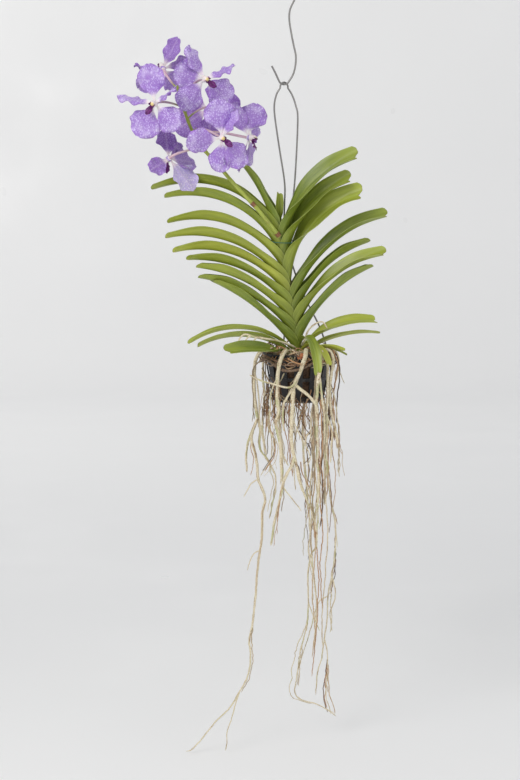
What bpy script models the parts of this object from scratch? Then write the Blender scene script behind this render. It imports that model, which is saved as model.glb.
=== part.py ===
"""A vanda orchid in a slatted basket that hangs from a bent wire hook.

Lengths in the tables are in millimetres and angles in degrees. Every piece is laid out round the
centre of the basket's rim, with X to the right, Y away from the viewer and Z up, and its object is
then placed by HANG below the inside of the hook, which is the origin of the whole.
"""
import math

import bmesh
import bpy
from mathutils import Vector

MM = 0.001
HANG = (12, 0, -518)
CLEARANCE = 0.3

# The basket and what lies in it
RIM_RADIUS = 50
RIM_WIDTH = 4
RIM_THICKNESS = 2
WALL = 2
FOOT_RADIUS = 36
BASKET_HEIGHT = 68
SLATS = 12
SLOT_WIDTH = 10
SLOT_TIERS = ((-33, -8), (-60, -37))
SLOT_CUT = (42, 14)
FLOOR_SLOT_CUT = (20, 10)
FLOOR_SLOTS = 6
FLOOR_SLOT_WIDTH = 8
BASKET_SIDES = 24

# The shoot: its foot, its height, how far it leans to the left at the top and how far it is from upright
# where the leaves clasp it
STEM_FOOT = -30
STEM_TOP = 184
STEM_LEAN = 30
STEM_TILT = 10
STEM_RADIUS = 4.4
STEM_TIP_RADIUS = 3
CROWN_RADIUS = 7
CROWN_HEIGHT = 50
STEM_STATIONS = (-30, -20, -10, 0, 15, 40, 70, 100, 130, 158, 172)

# Leaves
LEAF_THICKNESS = 0.7
LEAF_STATIONS = (0, 0.12, 0.28, 0.46, 0.66, 0.86, 1)
SHEATH_HALF_GAP = 5.3
SHEATH_FLARE = 0.15
SHEATH_LENGTH = 24
SHEATH_WALL = 10.5
SHEATH_RISE = 87
TIP_RISE = 56
KEEL_FLOOR = 2.4
TWIST_FOOT = 0.14
TWIST_SPAN = 0.44
NOTCH_SHARE = 0.035
NOTCH_MOST = 5

# The long leaves, whose folded foot clasps the stem: side, height on the stem, turn to the front, rise at
# the stem, rise at the tip, bend, length, width, fold and twist, which turns the upper face to the front
LEFT, RIGHT = -1, 1
LONG_LEAVES = {
    "leaf_left_01": (LEFT, 171, -9, 76, 50, 1.0, 102, 27, 68, 0),
    "leaf_left_02": (LEFT, 160, -8, 70, -18, 1.25, 208, 32, 63, 0),
    "leaf_right_01": (RIGHT, 151, 6, 84, 20, 1.1, 168, 38, 38, 38),
    "leaf_left_03": (LEFT, 142, -4, 66, -12, 1.1, 190, 32, 63, 0),
    "leaf_right_02": (RIGHT, 133.5, 7, 84, 22, 1.15, 148, 36, 38, 40),
    "leaf_left_04": (LEFT, 125, -2, 58, -16, 1.05, 180, 33, 63, 0),
    "leaf_right_03": (RIGHT, 110, 9, 84, 12, 1.0, 160, 40, 30, 50),
    "leaf_left_05": (LEFT, 100, 1, 56, -13, 1.05, 188, 33, 63, 0),
    "leaf_left_06": (LEFT, 86.6, 2, 55, -14, 1.05, 178, 32, 63, 0),
    "leaf_right_04": (RIGHT, 77, -4, 72, 14, 1.1, 182, 34, 50, 24),
    "leaf_left_07": (LEFT, 68, 5, 55, -4, 1.05, 163, 30, 63, 0),
    "leaf_right_05": (RIGHT, 59.5, -8, 71, 17, 1.1, 148, 29, 62, 0),
    "leaf_left_08": (LEFT, 51, 7, 53, 6, 1.05, 155, 31, 63, 0),
    "leaf_right_06": (RIGHT, 42, 7, 70, 11, 1.1, 164, 32, 48, 26),
    "leaf_left_09": (LEFT, 32, 4, 54, 8, 1.05, 156, 29, 63, 0),
    "leaf_right_07": (RIGHT, 22, 2, 68, 24, 1.1, 146, 30, 64, 0),
    "leaf_left_10": (LEFT, 12.5, 4, 54, 24, 1.05, 150, 28, 63, 0),
}

# The short leaves that leave the stem with a narrow claw, the new one in the heart and the old ones at
# the foot: height, direction seen from above, rise at the stem, rise at the tip, bend, length, width,
# fold and twist
SHORT_LEAVES = {
    "leaf_heart": (172.2, 180, 86, 96, 1.0, 50, 16, 50, -50),
    "leaf_foot_left_1": (3, 190, 42, -34, 1.0, 160, 23, 52, 0),
    "leaf_foot_left_2": (-3, 164, 34, -30, 1.0, 150, 26, 52, 0),
    "leaf_foot_left_3": (-6, 223, 18, -4, 1.0, 130, 30, 44, -30),
    "leaf_foot_right_1": (6, 2, 46, -8, 1.0, 116, 28, 40, 25),
    "leaf_foot_right_2": (-1, 30, 26, -8, 1.0, 136, 17, 50, 0),
    "leaf_foot_right_3": (-3, 334, 32, -18, 1.0, 66, 17, 50, 0),
    "leaf_foot_right_4": (-5, 4, 34, -34, 1.0, 66, 10, 50, 0),
    "leaf_foot_front_1": (1, 303, 42, -64, 1.0, 82, 13, 40, 0),
    "leaf_foot_front_2": (8, 286, 48, -88, 1.0, 118, 15, 40, 0),
}

# The flower spike, from the leaf foot that it leaves to its tip
SPIKE_ROUTE = ((-26, -12, 161), (-42, -17, 181), (-60, -19, 203), (-81, -17, 225), (-97, -13, 243),
               (-113, -9, 262), (-129, -5, 279), (-143, -1, 299), (-153, 2, 322), (-161, 4, 347),
               (-167, 5, 368))
SPIKE_RADII = (3.2, 1.9)
STALK_RADII = (1.2, 1.7)

# Blooms: where the stalk leaves the spike (share of its length), the middle, the way the face looks,
# the roll of its lip, and for each of the five blades its turn from upright (clockwise as seen from the
# front), length, width, lean at the claw, lean at the tip and twist
BLOOMS = {
    "bloom_1": (0.86, (-195, -46, 342), (-0.35, -0.9, -0.2), 35,
                ((-4, 51, 42, 8, -4, 0), (58, 42, 28, 20, 8, 80), (139, 44, 40, 6, 0, 0),
                 (212, 50, 46, 6, 2, 0), (283, 50, 26, 12, 2, -84))),
    "bloom_2": (0.92, (-128, -28, 375), (0.4, -0.88, -0.12), -50,
                ((-34, 50, 30, 10, 0, -34), (62, 42, 26, 20, 10, 84), (126, 46, 42, 4, -4, 0),
                 (222, 50, 40, 8, 0, 0), (284, 46, 40, 10, 2, 0))),
    "bloom_3": (0.72, (-105, -46, 296), (0.3, -0.93, -0.18), -50,
                ((-8, 50, 46, 8, -2, 0), (22, 44, 24, 28, 14, 80), (136, 50, 38, 6, -10, 20),
                 (180, 44, 34, 8, 0, 0), (262, 48, 38, 8, 0, 14))),
    "bloom_4": (0.68, (-69, 29, 297), (0.94, -0.25, -0.15), 0,
                ((-8, 46, 40, 8, 4, 72), (74, 38, 30, 10, 4, 0), (143, 42, 34, 10, 0, 0),
                 (200, 48, 34, 2, -6, 24), (330, 52, 26, -28, -34, 60))),
    "bloom_5": (0.62, (-178, -14, 268), (-0.62, 0.6, -0.48), 0,
                ((342, 44, 30, 4, 0, 20), (113, 42, 27, 6, 0, 0), (210, 52, 50, 6, 0, 0),
                 (264, 46, 36, 6, 0, 10), (296, 38, 30, 10, 0, -30))),
    "bloom_6": (0.98, (-188, 34, 392), (-0.3, 0.75, 0.55), 0,
                ((343, 47, 26, 6, 0, 62), (88, 38, 26, 12, 4, 50), (140, 42, 34, 4, 0, 0),
                 (228, 44, 36, 4, 0, 0), (288, 44, 34, 12, 4, -20))),
    "bloom_7": (0.8, (-124, 42, 337), (0.25, 0.93, -0.25), 0,
                ((340, 42, 34, 8, 0, 0), (66, 44, 36, 12, 4, 20), (122, 54, 48, 6, 0, 0),
                 (185, 44, 38, 6, 0, 0), (285, 42, 34, 12, 4, -20))),
}
PETAL_THICKNESS = 0.8
PETAL_STATIONS = (0, 0.25, 0.55, 0.83, 1)
PETAL_WIDEST = 0.55
CLAW_SHARE = 0.06
TIP_ROUND = 0.97
LIP_STATIONS = (0, 0.5, 1)
LIP_DROOP = 30
CLAW = 1.7
HUB = (4.4, 2.4)

# Wires. The hook carries the arch of the hanger, whose feet clip under the basket's rim
HOOK_WIRE = 2.6
HANGER_WIRE = 2.4
HOOK_BEND = 10
CROOK = (-20, 0, 376.5)
CROOK_RADIUS = 7.5
ARCH_RADIUS = 8
ARCH_TURN = 45
HOOK_TIP = ((-37, 0, 394), (-32, 0, 384.5))
HOOK_END = ((-12, 0, -8), (-15, 0, -14))
HOOK_ROUTE = ((-7.5, 0, 383), (-4.5, 0, 395), (-4, 0, 408), (-7, 0, 422), (-10, 0, 437), (-13, 0, 456),
              (-12, 0, 470), (-6, 0, 483), (-1, 0, 495))
LEFT_LEG = ((-18, 44, 34), (-18, 33, 80), (-19, 22, 130), (-20, 17, 165), (-19, 13, 205), (-19, 9, 235),
            (-26, 1, 280), (-32, -3, 320), (-33.5, -4.5, 340), (-30.5, -5.6, 355))
RIGHT_LEG = ((-9, 6, 355), (-4, 5, 341), (-1, 4, 321), (-4, 8, 250), (-8, 13, 205), (-13, 17, 165),
             (-9, 20, 125), (10, 26, 75), (30, 31, 35))
LEG_TURNS = (112, 40)
TIE_ROUTE = ((-43.5, 0, 155), (-41.8, -6.5, 155), (-38.2, -8.8, 154.6), (-30, -11.3, 153),
             (-20, -11.6, 152.5), (-10, -11.6, 152.5), (-5.6, -9.5, 153), (-3.8, -3, 153.5),
             (-4, 4, 154.5), (-5.9, 8.2, 155), (-8.2, 11, 155), (-9.3, 16, 155), (-11, 20.4, 155),
             (-16, 21.5, 155), (-21.5, 21, 155), (-24, 17.5, 155), (-30, 13, 155), (-37.4, 10.5, 155),
             (-41.8, 6.5, 155))
TIE_WIRE = 1.0

# Roots. Each bunch leaves the crown from its own lump and goes over the rim. A strand is its thickness
# at the start and at the end, and its route; a side root starts inside the strand that it leaves
LUMP_RING = 10.5
LUMP_RADIUS = 3.6
ROOTS = {
    "roots_left": (205, (
        (5.5, 4.6, ((-28, -10, -3), (-46, -17, 5), (-57, -18, -4), (-61, -17, -25), (-61, -16, -56),
                    (-58, -15, -82), (-56, -16, -93))),
        (4.2, 1.8, ((-56, -16, -91), (-63, -20, -107), (-65, -21, -120), (-59, -23, -143),
                    (-55, -26, -176), (-46, -28, -202), (-50, -31, -224), (-50, -34, -254),
                    (-53, -36, -275), (-57, -38, -302), (-59, -41, -337), (-63, -44, -372),
                    (-68, -47, -402), (-66, -48, -423), (-70, -50, -450), (-83, -52, -475),
                    (-96, -54, -496), (-116, -57, -515), (-136, -60, -540), (-149, -62, -553),
                    (-157, -63, -555))),
        (3.6, 2.6, ((-56, -16, -91), (-61, -14, -104), (-67, -13, -118), (-71, -13, -131),
                    (-73, -13, -146), (-71, -13, -168))),
        (3.2, 1.6, ((-56, -16, -91), (-53, -14, -108), (-54, -13, -124), (-52, -12, -138),
                    (-45, -12, -147), (-37, -11, -160), (-32, -11, -175), (-31, -11, -190),
                    (-34, -11, -206), (-40, -12, -234))),
        (2.6, 1.6, ((-61, -17, -26), (-56, -20, -46), (-54, -21, -75), (-53, -21, -98),
                    (-49, -20, -122), (-47, -19, -138))),
        (1.8, 1.3, ((-53, -36, -274), (-62, -38, -279), (-67, -38, -288), (-71, -38, -303))),
        (1.8, 1.3, ((-82, -52, -474), (-88, -54, -492), (-92, -56, -508), (-99, -59, -529),
                    (-99, -60, -543), (-101, -61, -555))),
        (2.0, 1.4, ((-55, -26, -175), (-65, -26, -181), (-70, -25, -190), (-76, -25, -201))),
    )),
    "roots_front_left": (250, (
        (6.2, 4.2, ((-12, -28, -2), (-18, -44, 6), (-24, -55, -3), (-28, -57, -25), (-29, -56, -60),
                    (-28, -55, -80), (-31, -55, -92), (-28, -54, -107), (-25, -53, -130),
                    (-23, -52, -150), (-22, -52, -175))),
        (2.6, 1.6, ((-25, -53, -130), (-20, -51, -140), (-14, -49, -153))),
        (2.2, 1.2, ((-28, -57, -27), (-38, -52, -50), (-39, -50, -76), (-41, -49, -97),
                    (-38, -48, -108), (-33, -47, -118), (-32, -46, -128), (-36, -46, -140),
                    (-42, -45, -152), (-53, -44, -168))),
    )),
    "roots_front": (295, (
        (6.4, 4.6, ((8, -28, -1), (10, -47, 7.5), (8, -60, -2), (1, -60, -22), (-6, -58, -40),
                    (-8, -58, -60), (-9, -57, -85), (-10, -56, -105), (-9, -55, -125), (-6, -54, -140),
                    (-2, -53, -154), (2, -52, -174), (8, -51, -191))),
        (4.6, 3.0, ((-6, -54, -140), (-10, -56, -153), (-17, -58, -165), (-22, -60, -179),
                    (-25, -61, -193), (-28, -61, -208), (-31, -60, -222), (-34, -59, -237),
                    (-38, -58, -263))),
        (2.0, 1.3, ((-22, -60, -178), (-15, -62, -189), (-5, -63, -201), (4, -63, -214))),
        (2.0, 1.2, ((-9, -57, -86), (0, -56, -105), (9, -55, -122), (16, -54, -140), (11, -54, -153))),
        (2.6, 1.4, ((7, -51, -189), (13, -50, -203), (18, -50, -215), (21, -49, -231))),
        (3.2, 2.0, ((1, -59, -23), (-7, -63, -38), (-16, -66, -42), (-32, -65, -38), (-50, -58, -34),
                    (-68, -46, -27))),
    )),
    "roots_right": (340, (
        (6.4, 3.0, ((22, -21, -1), (31, -40, 6), (32, -53, -1), (28, -57, -22), (25, -56, -45),
                    (24, -54, -70), (25, -52, -95), (26, -50, -125), (26, -48, -150), (28, -46, -165),
                    (28, -45, -190), (26, -44, -210), (23, -43, -232), (27, -42, -252))),
        (2.4, 1.5, ((26, -42, -250), (25, -41, -268), (18, -38, -280), (15, -34, -300),
                    (14, -30, -318), (15, -22, -352), (14, -16, -380), (10, -10, -402), (6, -4, -420),
                    (3, 2, -440), (-1, 6, -470), (-3, 9, -488), (1, 11, -500), (12, 12, -505),
                    (28, 11, -509), (45, 9, -518), (56, 7, -526))),
        (3.2, 1.6, ((28, -57, -24), (33, -52, -66), (36, -48, -95), (35, -45, -124), (39, -42, -152),
                    (43, -38, -182), (47, -34, -212), (52, -30, -240), (52, -26, -278),
                    (48, -22, -312), (43, -16, -345), (42, -10, -378), (38, -4, -410), (35, 2, -438),
                    (29, 6, -462), (27, 10, -495))),
        (1.8, 1.2, ((38, -4, -408), (42, -2, -425), (43, 2, -442), (42, 6, -470), (42, 8, -498),
                    (46, 10, -512), (49, 12, -524))),
        (1.6, 1.0, ((15, -22, -351), (20, -20, -366), (25, -17, -380), (31, -14, -395))),
        (1.8, 1.2, ((43, -16, -344), (31, -12, -353), (25, -9, -368), (18, -4, -396), (13, 0, -416),
                    (4, 6, -447))),
        (2.6, 1.3, ((25, -56, -47), (18, -54, -76), (17, -51, -110), (20, -48, -150), (16, -46, -190),
                    (19, -44, -230), (15, -40, -270), (22, -36, -310), (26, -30, -350),
                    (24, -25, -386))),
        (2.0, 1.4, ((48, -22, -311), (52, -20, -332), (53, -16, -346), (50, -12, -359),
                    (46, -10, -373), (49, -8, -397))),
    )),
    "roots_far_right": (28, (
        (5.0, 3.8, ((26, -8, -1), (40, -28, 6), (47, -36, -3), (46, -41, -20), (43, -41, -42),
                    (44, -39, -68), (47, -38, -86), (51, -37, -104), (54, -36, -118),
                    (54, -36, -131))),
        (2.0, 1.2, ((43, -41, -40), (50, -35, -60), (53, -31, -82), (56, -27, -103), (55, -25, -124),
                    (58, -23, -141), (56, -21, -153), (58, -19, -173))),
        (3.2, 1.8, ((25, -7, -1), (46, -14, 5), (55, -16, -3), (56, -15, -22), (52, -13, -40))),
        (1.8, 1.0, ((56, -15, -20), (60, -13, -32), (65, -12, -43))),
    )),
    "roots_back": (80, (
        (4.4, 1.8, ((3, 28, -2), (6, 45, 6), (7, 56, -3), (8, 58, -30), (10, 56, -80), (8, 50, -130),
                    (13, 46, -190), (18, 40, -250), (22, 32, -310), (28, 26, -370), (24, 22, -430))),
        (3.2, 1.6, ((8, 58, -29), (20, 53, -60), (26, 48, -110), (23, 44, -160), (30, 38, -220),
                    (26, 32, -290))),
        (3.4, 2.0, ((7, 56, -5), (-12, 57, -16), (-22, 52, -50), (-26, 47, -100), (-20, 43, -150),
                    (-24, 40, -195))),
        (2.6, 1.5, ((10, 56, -79), (2, 53, -110), (-5, 51, -150), (-2, 47, -204))),
    )),
    "roots_back_left": (157, (
        (4.2, 2.6, ((-28, 19, -2), (-40, 30, 5), (-47, 37, -4), (-49, 38, -30), (-47, 36, -75),
                    (-50, 32, -110), (-44, 30, -152))),
        (2.2, 1.3, ((-47, 36, -74), (-40, 34, -104), (-36, 31, -138), (-40, 28, -176))),
    )),
}

# Two single roots that leave the stem among the leaves
STEM_ROOTS = {
    "root_stem_left": (3.0, 2.4, ((-2.0, -5.5, 5), (-10, -15, 11), (-30, -20, 18), (-58, -24, 23),
                                  (-74, -25, 27), (-82, -26, 20), (-84, -27, 8))),
    "root_stem_right": (3.0, 2.0, ((5.3, -4.4, 10), (9, -9.8, 18), (13, -14, 30), (22, -18, 40),
                                   (33, -20, 44), (40, -20, 35))),
}

# Bark chips in the basket: middle, size and turn
CHIPS = (((-10, -6, -59.6), (30, 22, 12), 20), ((12, 6, -56), (32, 20, 13), -30),
         ((-4, 14, -50), (26, 18, 12), 75), ((8, -12, -48), (24, 20, 12), 50),
         ((-14, 6, -44), (22, 16, 11), 5))


def smooth(value):
    """An even ease from 0 to 1."""
    value = min(max(value, 0.0), 1.0)
    return value * value * (3 - 2 * value)


def mix(a, b, amount):
    """The value at a share of the way from a to b."""
    return a + (b - a) * amount


def stem_x(height):
    """How far the shoot stands to the left at a height above the rim."""
    return -STEM_LEAN * (max(height, 0) / STEM_TOP) ** 1.3


def material(name, colour, roughness, metallic=0.0):
    """A plain Principled material."""
    made = bpy.data.materials.new(name)
    made.use_nodes = True
    shader = made.node_tree.nodes["Principled BSDF"]
    shader.inputs["Base Color"].default_value = (*colour, 1)
    shader.inputs["Roughness"].default_value = roughness
    shader.inputs["Metallic"].default_value = metallic
    return made


def add_mesh(name, verts, faces, finish=None):
    """Make an object from points in millimetres, with its faces pointing out."""
    mesh = bpy.data.meshes.new(name)
    mesh.from_pydata([Vector(v) * MM for v in verts], [], faces)
    form = bmesh.new()
    form.from_mesh(mesh)
    bmesh.ops.recalc_face_normals(form, faces=form.faces)
    if form.calc_volume(signed=True) < 0:
        bmesh.ops.reverse_faces(form, faces=form.faces)
    form.to_mesh(mesh)
    form.free()
    mesh.shade_smooth()
    mesh.set_sharp_from_angle(angle=math.radians(40))
    made = bpy.data.objects.new(name, mesh)
    made.location = Vector(HANG) * MM
    bpy.context.scene.collection.objects.link(made)
    if finish:
        mesh.materials.append(finish)
    return made


def fuse(name, shapes, finish):
    """Join several closed shapes in one body and keep only that."""
    helpers = bpy.data.collections.new(name + "_shapes")
    bpy.context.scene.collection.children.link(helpers)
    body = add_mesh(name, *shapes[0])
    for index, shape in enumerate(shapes[1:]):
        piece = add_mesh(f"{name}_shape_{index}", *shape)
        bpy.context.scene.collection.objects.unlink(piece)
        helpers.objects.link(piece)
    union = body.modifiers.new("union", "BOOLEAN")
    union.operation = "UNION"
    union.operand_type = "COLLECTION"
    union.collection = helpers
    union.solver = "MANIFOLD"
    joined = bpy.data.meshes.new_from_object(body.evaluated_get(bpy.context.evaluated_depsgraph_get()))
    body.modifiers.clear()
    body.data = joined
    joined.materials.clear()
    joined.materials.append(finish)
    joined.shade_smooth()
    joined.set_sharp_from_angle(angle=math.radians(40))
    for piece in list(helpers.objects):
        bpy.data.objects.remove(piece)
    bpy.data.collections.remove(helpers)
    return body


def through(points, steps):
    """Points along a smooth curve through the given ones, with some steps to each stretch."""
    route = [Vector(p) for p in points]
    ends = [2 * route[0] - route[1]] + route + [2 * route[-1] - route[-2]]
    made = []
    for index in range(len(route) - 1):
        a, b, c, d = ends[index:index + 4]
        for step in range(steps):
            t = step / steps
            made.append(0.5 * ((2 * b) + (c - a) * t + (2 * a - 5 * b + 4 * c - d) * t ** 2
                               + (3 * b - a - 3 * c + d) * t ** 3))
    made.append(route[-1])
    return made


def tube(path, radii, sides, closed=False):
    """A closed tube along a path, as points and triangles."""
    count = len(path)
    if isinstance(radii, (int, float)):
        radii = [radii] * count
    verts, faces = [], []
    normal = None
    for index, centre in enumerate(path):
        if closed:
            along = (path[(index + 1) % count] - path[index - 1]).normalized()
        else:
            along = (path[min(index + 1, count - 1)] - path[max(index - 1, 0)]).normalized()
        if normal is None:
            normal = along.orthogonal().normalized()
        normal = (normal - along * normal.dot(along)).normalized()
        other = along.cross(normal)
        for side in range(sides):
            angle = 2 * math.pi * side / sides
            verts.append(centre + radii[index] * (math.cos(angle) * normal + math.sin(angle) * other))
    rings = count if closed else count - 1
    for index in range(rings):
        here, there = index * sides, ((index + 1) % count) * sides
        for side in range(sides):
            after = (side + 1) % sides
            faces.append((here + side, here + after, there + after))
            faces.append((here + side, there + after, there + side))
    if not closed:
        for side in range(1, sides - 1):
            faces.append((0, side + 1, side))
            last = (count - 1) * sides
            faces.append((last, last + side, last + side + 1))
    return verts, faces


def ball(centre, radius, flat=1.0, axis=(0, 0, 1), sides=8, rings=5):
    """A small rounded lump, flattened along its axis."""
    axis = Vector(axis).normalized()
    centre = Vector(centre)
    path, radii = [], []
    for ring in range(rings):
        angle = math.pi * (0.08 + 0.84 * ring / (rings - 1))
        path.append(centre - axis * radius * flat * math.cos(angle))
        radii.append(radius * math.sin(angle))
    return tube(path, radii, sides)


def blade(top, bottom):
    """A thin closed sheet between two grids of points, split into triangles alike on both faces."""
    rows, columns = len(top), len(top[0])
    verts = [p for row in top for p in row] + [p for row in bottom for p in row]
    below = rows * columns
    faces = []

    def quad(a, b, c, d, swap):
        if swap:
            faces.extend(((a, b, d), (b, c, d)))
        else:
            faces.extend(((a, b, c), (a, c, d)))

    for row in range(rows - 1):
        for column in range(columns - 1):
            a = row * columns + column
            b, c, d = a + 1, a + columns + 1, a + columns
            swap = column < (columns - 1) / 2
            quad(a, b, c, d, swap)
            quad(*(below + i for i in (a, b, c, d)), swap)
    edge = list(range(columns))
    edge += [row * columns + columns - 1 for row in range(1, rows)]
    edge += [(rows - 1) * columns + column for column in reversed(range(columns - 1))]
    edge += [row * columns for row in reversed(range(1, rows - 1))]
    for index, a in enumerate(edge):
        b = edge[(index + 1) % len(edge)]
        faces.extend(((a, b, below + b), (a, below + b, below + a)))
    return verts, faces


def leaf_path(start, direction, rise_foot, rise_tip, bend, length):
    """The keel line: place, way along and side for each station of a leaf that arches over."""
    side = Vector((-math.sin(direction), math.cos(direction), 0))
    place = Vector(start)
    path = []
    fine = 60
    for index in range(fine + 1):
        t = index / fine
        rise = math.radians(rise_tip + (rise_foot - rise_tip) * (1 - t) ** bend)
        along = Vector((math.cos(rise) * math.cos(direction), math.cos(rise) * math.sin(direction),
                        math.sin(rise)))
        path.append((place.copy(), along))
        place = place + along * length / fine
    return [(path[round(t * fine)][0], path[round(t * fine)][1], side) for t in LEAF_STATIONS]


def leaf_shape(path, length, sections, twist):
    """Loft a folded blade: each section is its half floor, its wall length and the rise of its wall."""
    top, bottom = [], []
    for t, (place, along, side), (floor, wall, rise) in zip(LEAF_STATIONS, path, sections):
        up = along.cross(side)
        turn = math.radians(twist) * smooth((t - TWIST_FOOT) / TWIST_SPAN)
        across = side * math.cos(turn) + up * math.sin(turn)
        lift = up * math.cos(turn) - side * math.sin(turn)
        bend = math.radians(rise)
        thick = LEAF_THICKNESS
        inner = [(0, 0), (floor, 0), (floor + wall * math.cos(bend), wall * math.sin(bend))]
        outer = [(0, -thick), (floor + thick * math.tan(bend / 2), -thick),
                 (inner[2][0] + thick * math.sin(bend), inner[2][1] - thick * math.cos(bend))]
        notch = min(NOTCH_SHARE * length, NOTCH_MOST)
        back = (notch, 0.0, 1.4 * notch) if t == 1 else (0.0, 0.0, 0.0)
        rows = []
        for line in (inner, outer):
            row = []
            for column in (-2, -1, 0, 1, 2):
                y, z = line[abs(column)]
                y = math.copysign(y, column) if column else 0
                shorter = back[abs(column)] + (0.4 * notch if t == 1 and column > 0 else 0)
                row.append(place + across * y + lift * z - along * shorter)
            rows.append(row)
        top.append(rows[0])
        bottom.append(rows[1])
    return blade(top, bottom)


def long_leaf(name, values, finish):
    """A strap leaf whose folded foot clasps the stem from one side."""
    side, height, turn, rise_foot, rise_tip, bend, length, width, fold, twist = values
    direction = math.radians(180 + turn if side == LEFT else -turn)
    rise = math.radians(rise_foot)
    inward = Vector((-math.sin(rise) * math.cos(direction), -math.sin(rise) * math.sin(direction),
                     math.cos(rise)))
    reach = STEM_RADIUS / max(math.cos(math.radians(90 + STEM_TILT) - rise), 0.5)
    start = Vector((stem_x(height), 0, height)) - inward * (reach + CLEARANCE + LEAF_THICKNESS)
    path = leaf_path(start, direction, rise_foot, rise_tip, bend, length)
    half = width / 2
    sections = []
    for t in LEAF_STATIONS:
        s = t * length
        opened = smooth((s - 8) / 60)
        foot = SHEATH_HALF_GAP + SHEATH_FLARE * min(s, SHEATH_LENGTH)
        floor = mix(foot, KEEL_FLOOR, smooth((s - SHEATH_LENGTH) / 100))
        floor = mix(floor, 0.5 * half, smooth((t - 0.7) / 0.3))
        breadth = half * mix(1.0, 0.8, smooth((t - 0.7) / 0.3))
        wall = mix(SHEATH_WALL, max(breadth - floor, 3.0), smooth((s - 10) / 50))
        rise_wall = mix(SHEATH_RISE, mix(fold, TIP_RISE, smooth((t - 0.6) / 0.4)), opened)
        sections.append((floor, wall, rise_wall))
    return add_mesh(name, *leaf_shape(path, length, sections, twist), finish)


def short_leaf(name, values, finish):
    """A leaf that leaves the stem with a narrow claw, or stands on its top."""
    height, turn, rise_foot, rise_tip, bend, length, width, fold, twist = values
    direction = math.radians(turn)
    out = Vector((math.cos(direction), math.sin(direction), 0))
    away = 0 if height > STEM_TOP - 12 else stem_radius(height) + 3 * CLEARANCE
    start = Vector((stem_x(height), 0, height)) + out * away
    path = leaf_path(start, direction, rise_foot, rise_tip, bend, length)
    sections = []
    for t in LEAF_STATIONS:
        half = width / 2 * mix(0.3, 1.0, smooth(t / 0.4)) * mix(1.0, 0.75, smooth((t - 0.7) / 0.3))
        floor = half * mix(0.35, 0.5, t)
        sections.append((floor, half - floor, mix(60, fold, smooth(t / 0.5))))
    return add_mesh(name, *leaf_shape(path, length, sections, twist), finish)


def stem_radius(height):
    """The shoot is thicker at its foot, where the roots leave it."""
    return mix(CROWN_RADIUS, STEM_RADIUS, smooth((height - STEM_FOOT) / CROWN_HEIGHT))


def stem(finish):
    """The upright shoot, thicker at its foot and blunt at its top."""
    path = [Vector((stem_x(h), 0, h)) for h in STEM_STATIONS]
    radii = [stem_radius(h) for h in STEM_STATIONS]
    radii[-1] = STEM_TIP_RADIUS
    return add_mesh("stem", *tube(path, radii, 8), finish)


def spike_point(share):
    """The place on the spike at a share of its length, and the way it runs there."""
    route = through(SPIKE_ROUTE, 4)
    place = share * (len(route) - 1)
    index = min(int(place), len(route) - 2)
    return route[index].lerp(route[index + 1], place - index), (route[index + 1] - route[index]).normalized()


def bloom_frame(face, roll):
    """The face, up and right directions of a bloom, as seen by someone who looks at its face."""
    face = Vector(face).normalized()
    up = (Vector((0, 0, 1)) - face * face.z).normalized()
    right = up.cross(face)
    turn = math.radians(roll)
    return face, up * math.cos(turn) + right * math.sin(turn), right * math.cos(turn) - up * math.sin(turn)


def petal_half(t, width):
    """Half the width of a petal at a share of its length: a claw that swells and then closes round."""
    if t <= PETAL_WIDEST:
        return CLAW + (width / 2 - CLAW) * smooth((t - CLAW_SHARE) / (PETAL_WIDEST - CLAW_SHARE))
    return width / 2 * math.sqrt(1 - TIP_ROUND * ((t - PETAL_WIDEST) / (1 - PETAL_WIDEST)) ** 2)


def petal(middle, frame, turn, length, width, lean, lean_tip, twist, cup=0.14,
          stations=PETAL_STATIONS, columns=(-1, -0.5, 0, 0.5, 1)):
    """One blade of a bloom: a narrow claw that widens to a rounded, slightly cupped end."""
    face, up, right = frame
    angle = math.radians(turn)
    way = up * math.cos(angle) + right * math.sin(angle)
    across = right * math.cos(angle) - up * math.sin(angle)
    place = Vector(middle) + way * (HUB[0] - 1.6)
    top, bottom = [], []
    last = 0
    for t in stations:
        tilt = math.radians(mix(lean, lean_tip, t))
        along = way * math.cos(tilt) + face * math.sin(tilt)
        lift = face * math.cos(tilt) - way * math.sin(tilt)
        place = place + along * (t - last) * length
        last = t
        turned = math.radians(twist) * smooth(t / 0.4)
        side = across * math.cos(turned) + lift * math.sin(turned)
        raised = lift * math.cos(turned) - across * math.sin(turned)
        half = petal_half(t, width)
        upper, lower = [], []
        for u in columns:
            point = place + side * u * half - raised * cup * u * u * half
            upper.append(point + raised * PETAL_THICKNESS / 2)
            lower.append(point - raised * PETAL_THICKNESS / 2)
        top.append(upper)
        bottom.append(lower)
    return blade(top, bottom)


def lip_shapes(middle, frame):
    """The dark lip with its two side lobes, under the pale column."""
    face, up, right = frame
    seat = Vector(middle) + face * (HUB[1] + CLEARANCE)
    column = tube([seat, seat + face * 4 + up * 0.6, seat + face * 8 + up * 0.4], [3.0, 2.6, 2.0], 6)
    foot = seat + face * 2.2 - up * 1.5
    droop = math.radians(LIP_DROOP)
    forward = face * math.cos(droop) - up * math.sin(droop)
    tongue_frame = (up * math.cos(droop) + face * math.sin(droop), forward, right)
    plain = {"stations": LIP_STATIONS, "columns": (-1, 0, 1)}
    tongue = petal(foot - forward * 4, tongue_frame, 0, 17, 10, 0, -30, 0, cup=0.35, **plain)
    lobes = []
    for hand in (-1, 1):
        lobe_frame = (right * -hand, face, up)
        lobes.append(petal(foot + right * hand * 2.2 - face * 2, lobe_frame, 12, 7, 7, 0, -14, 0, **plain))
    return [column, tongue] + lobes


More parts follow.
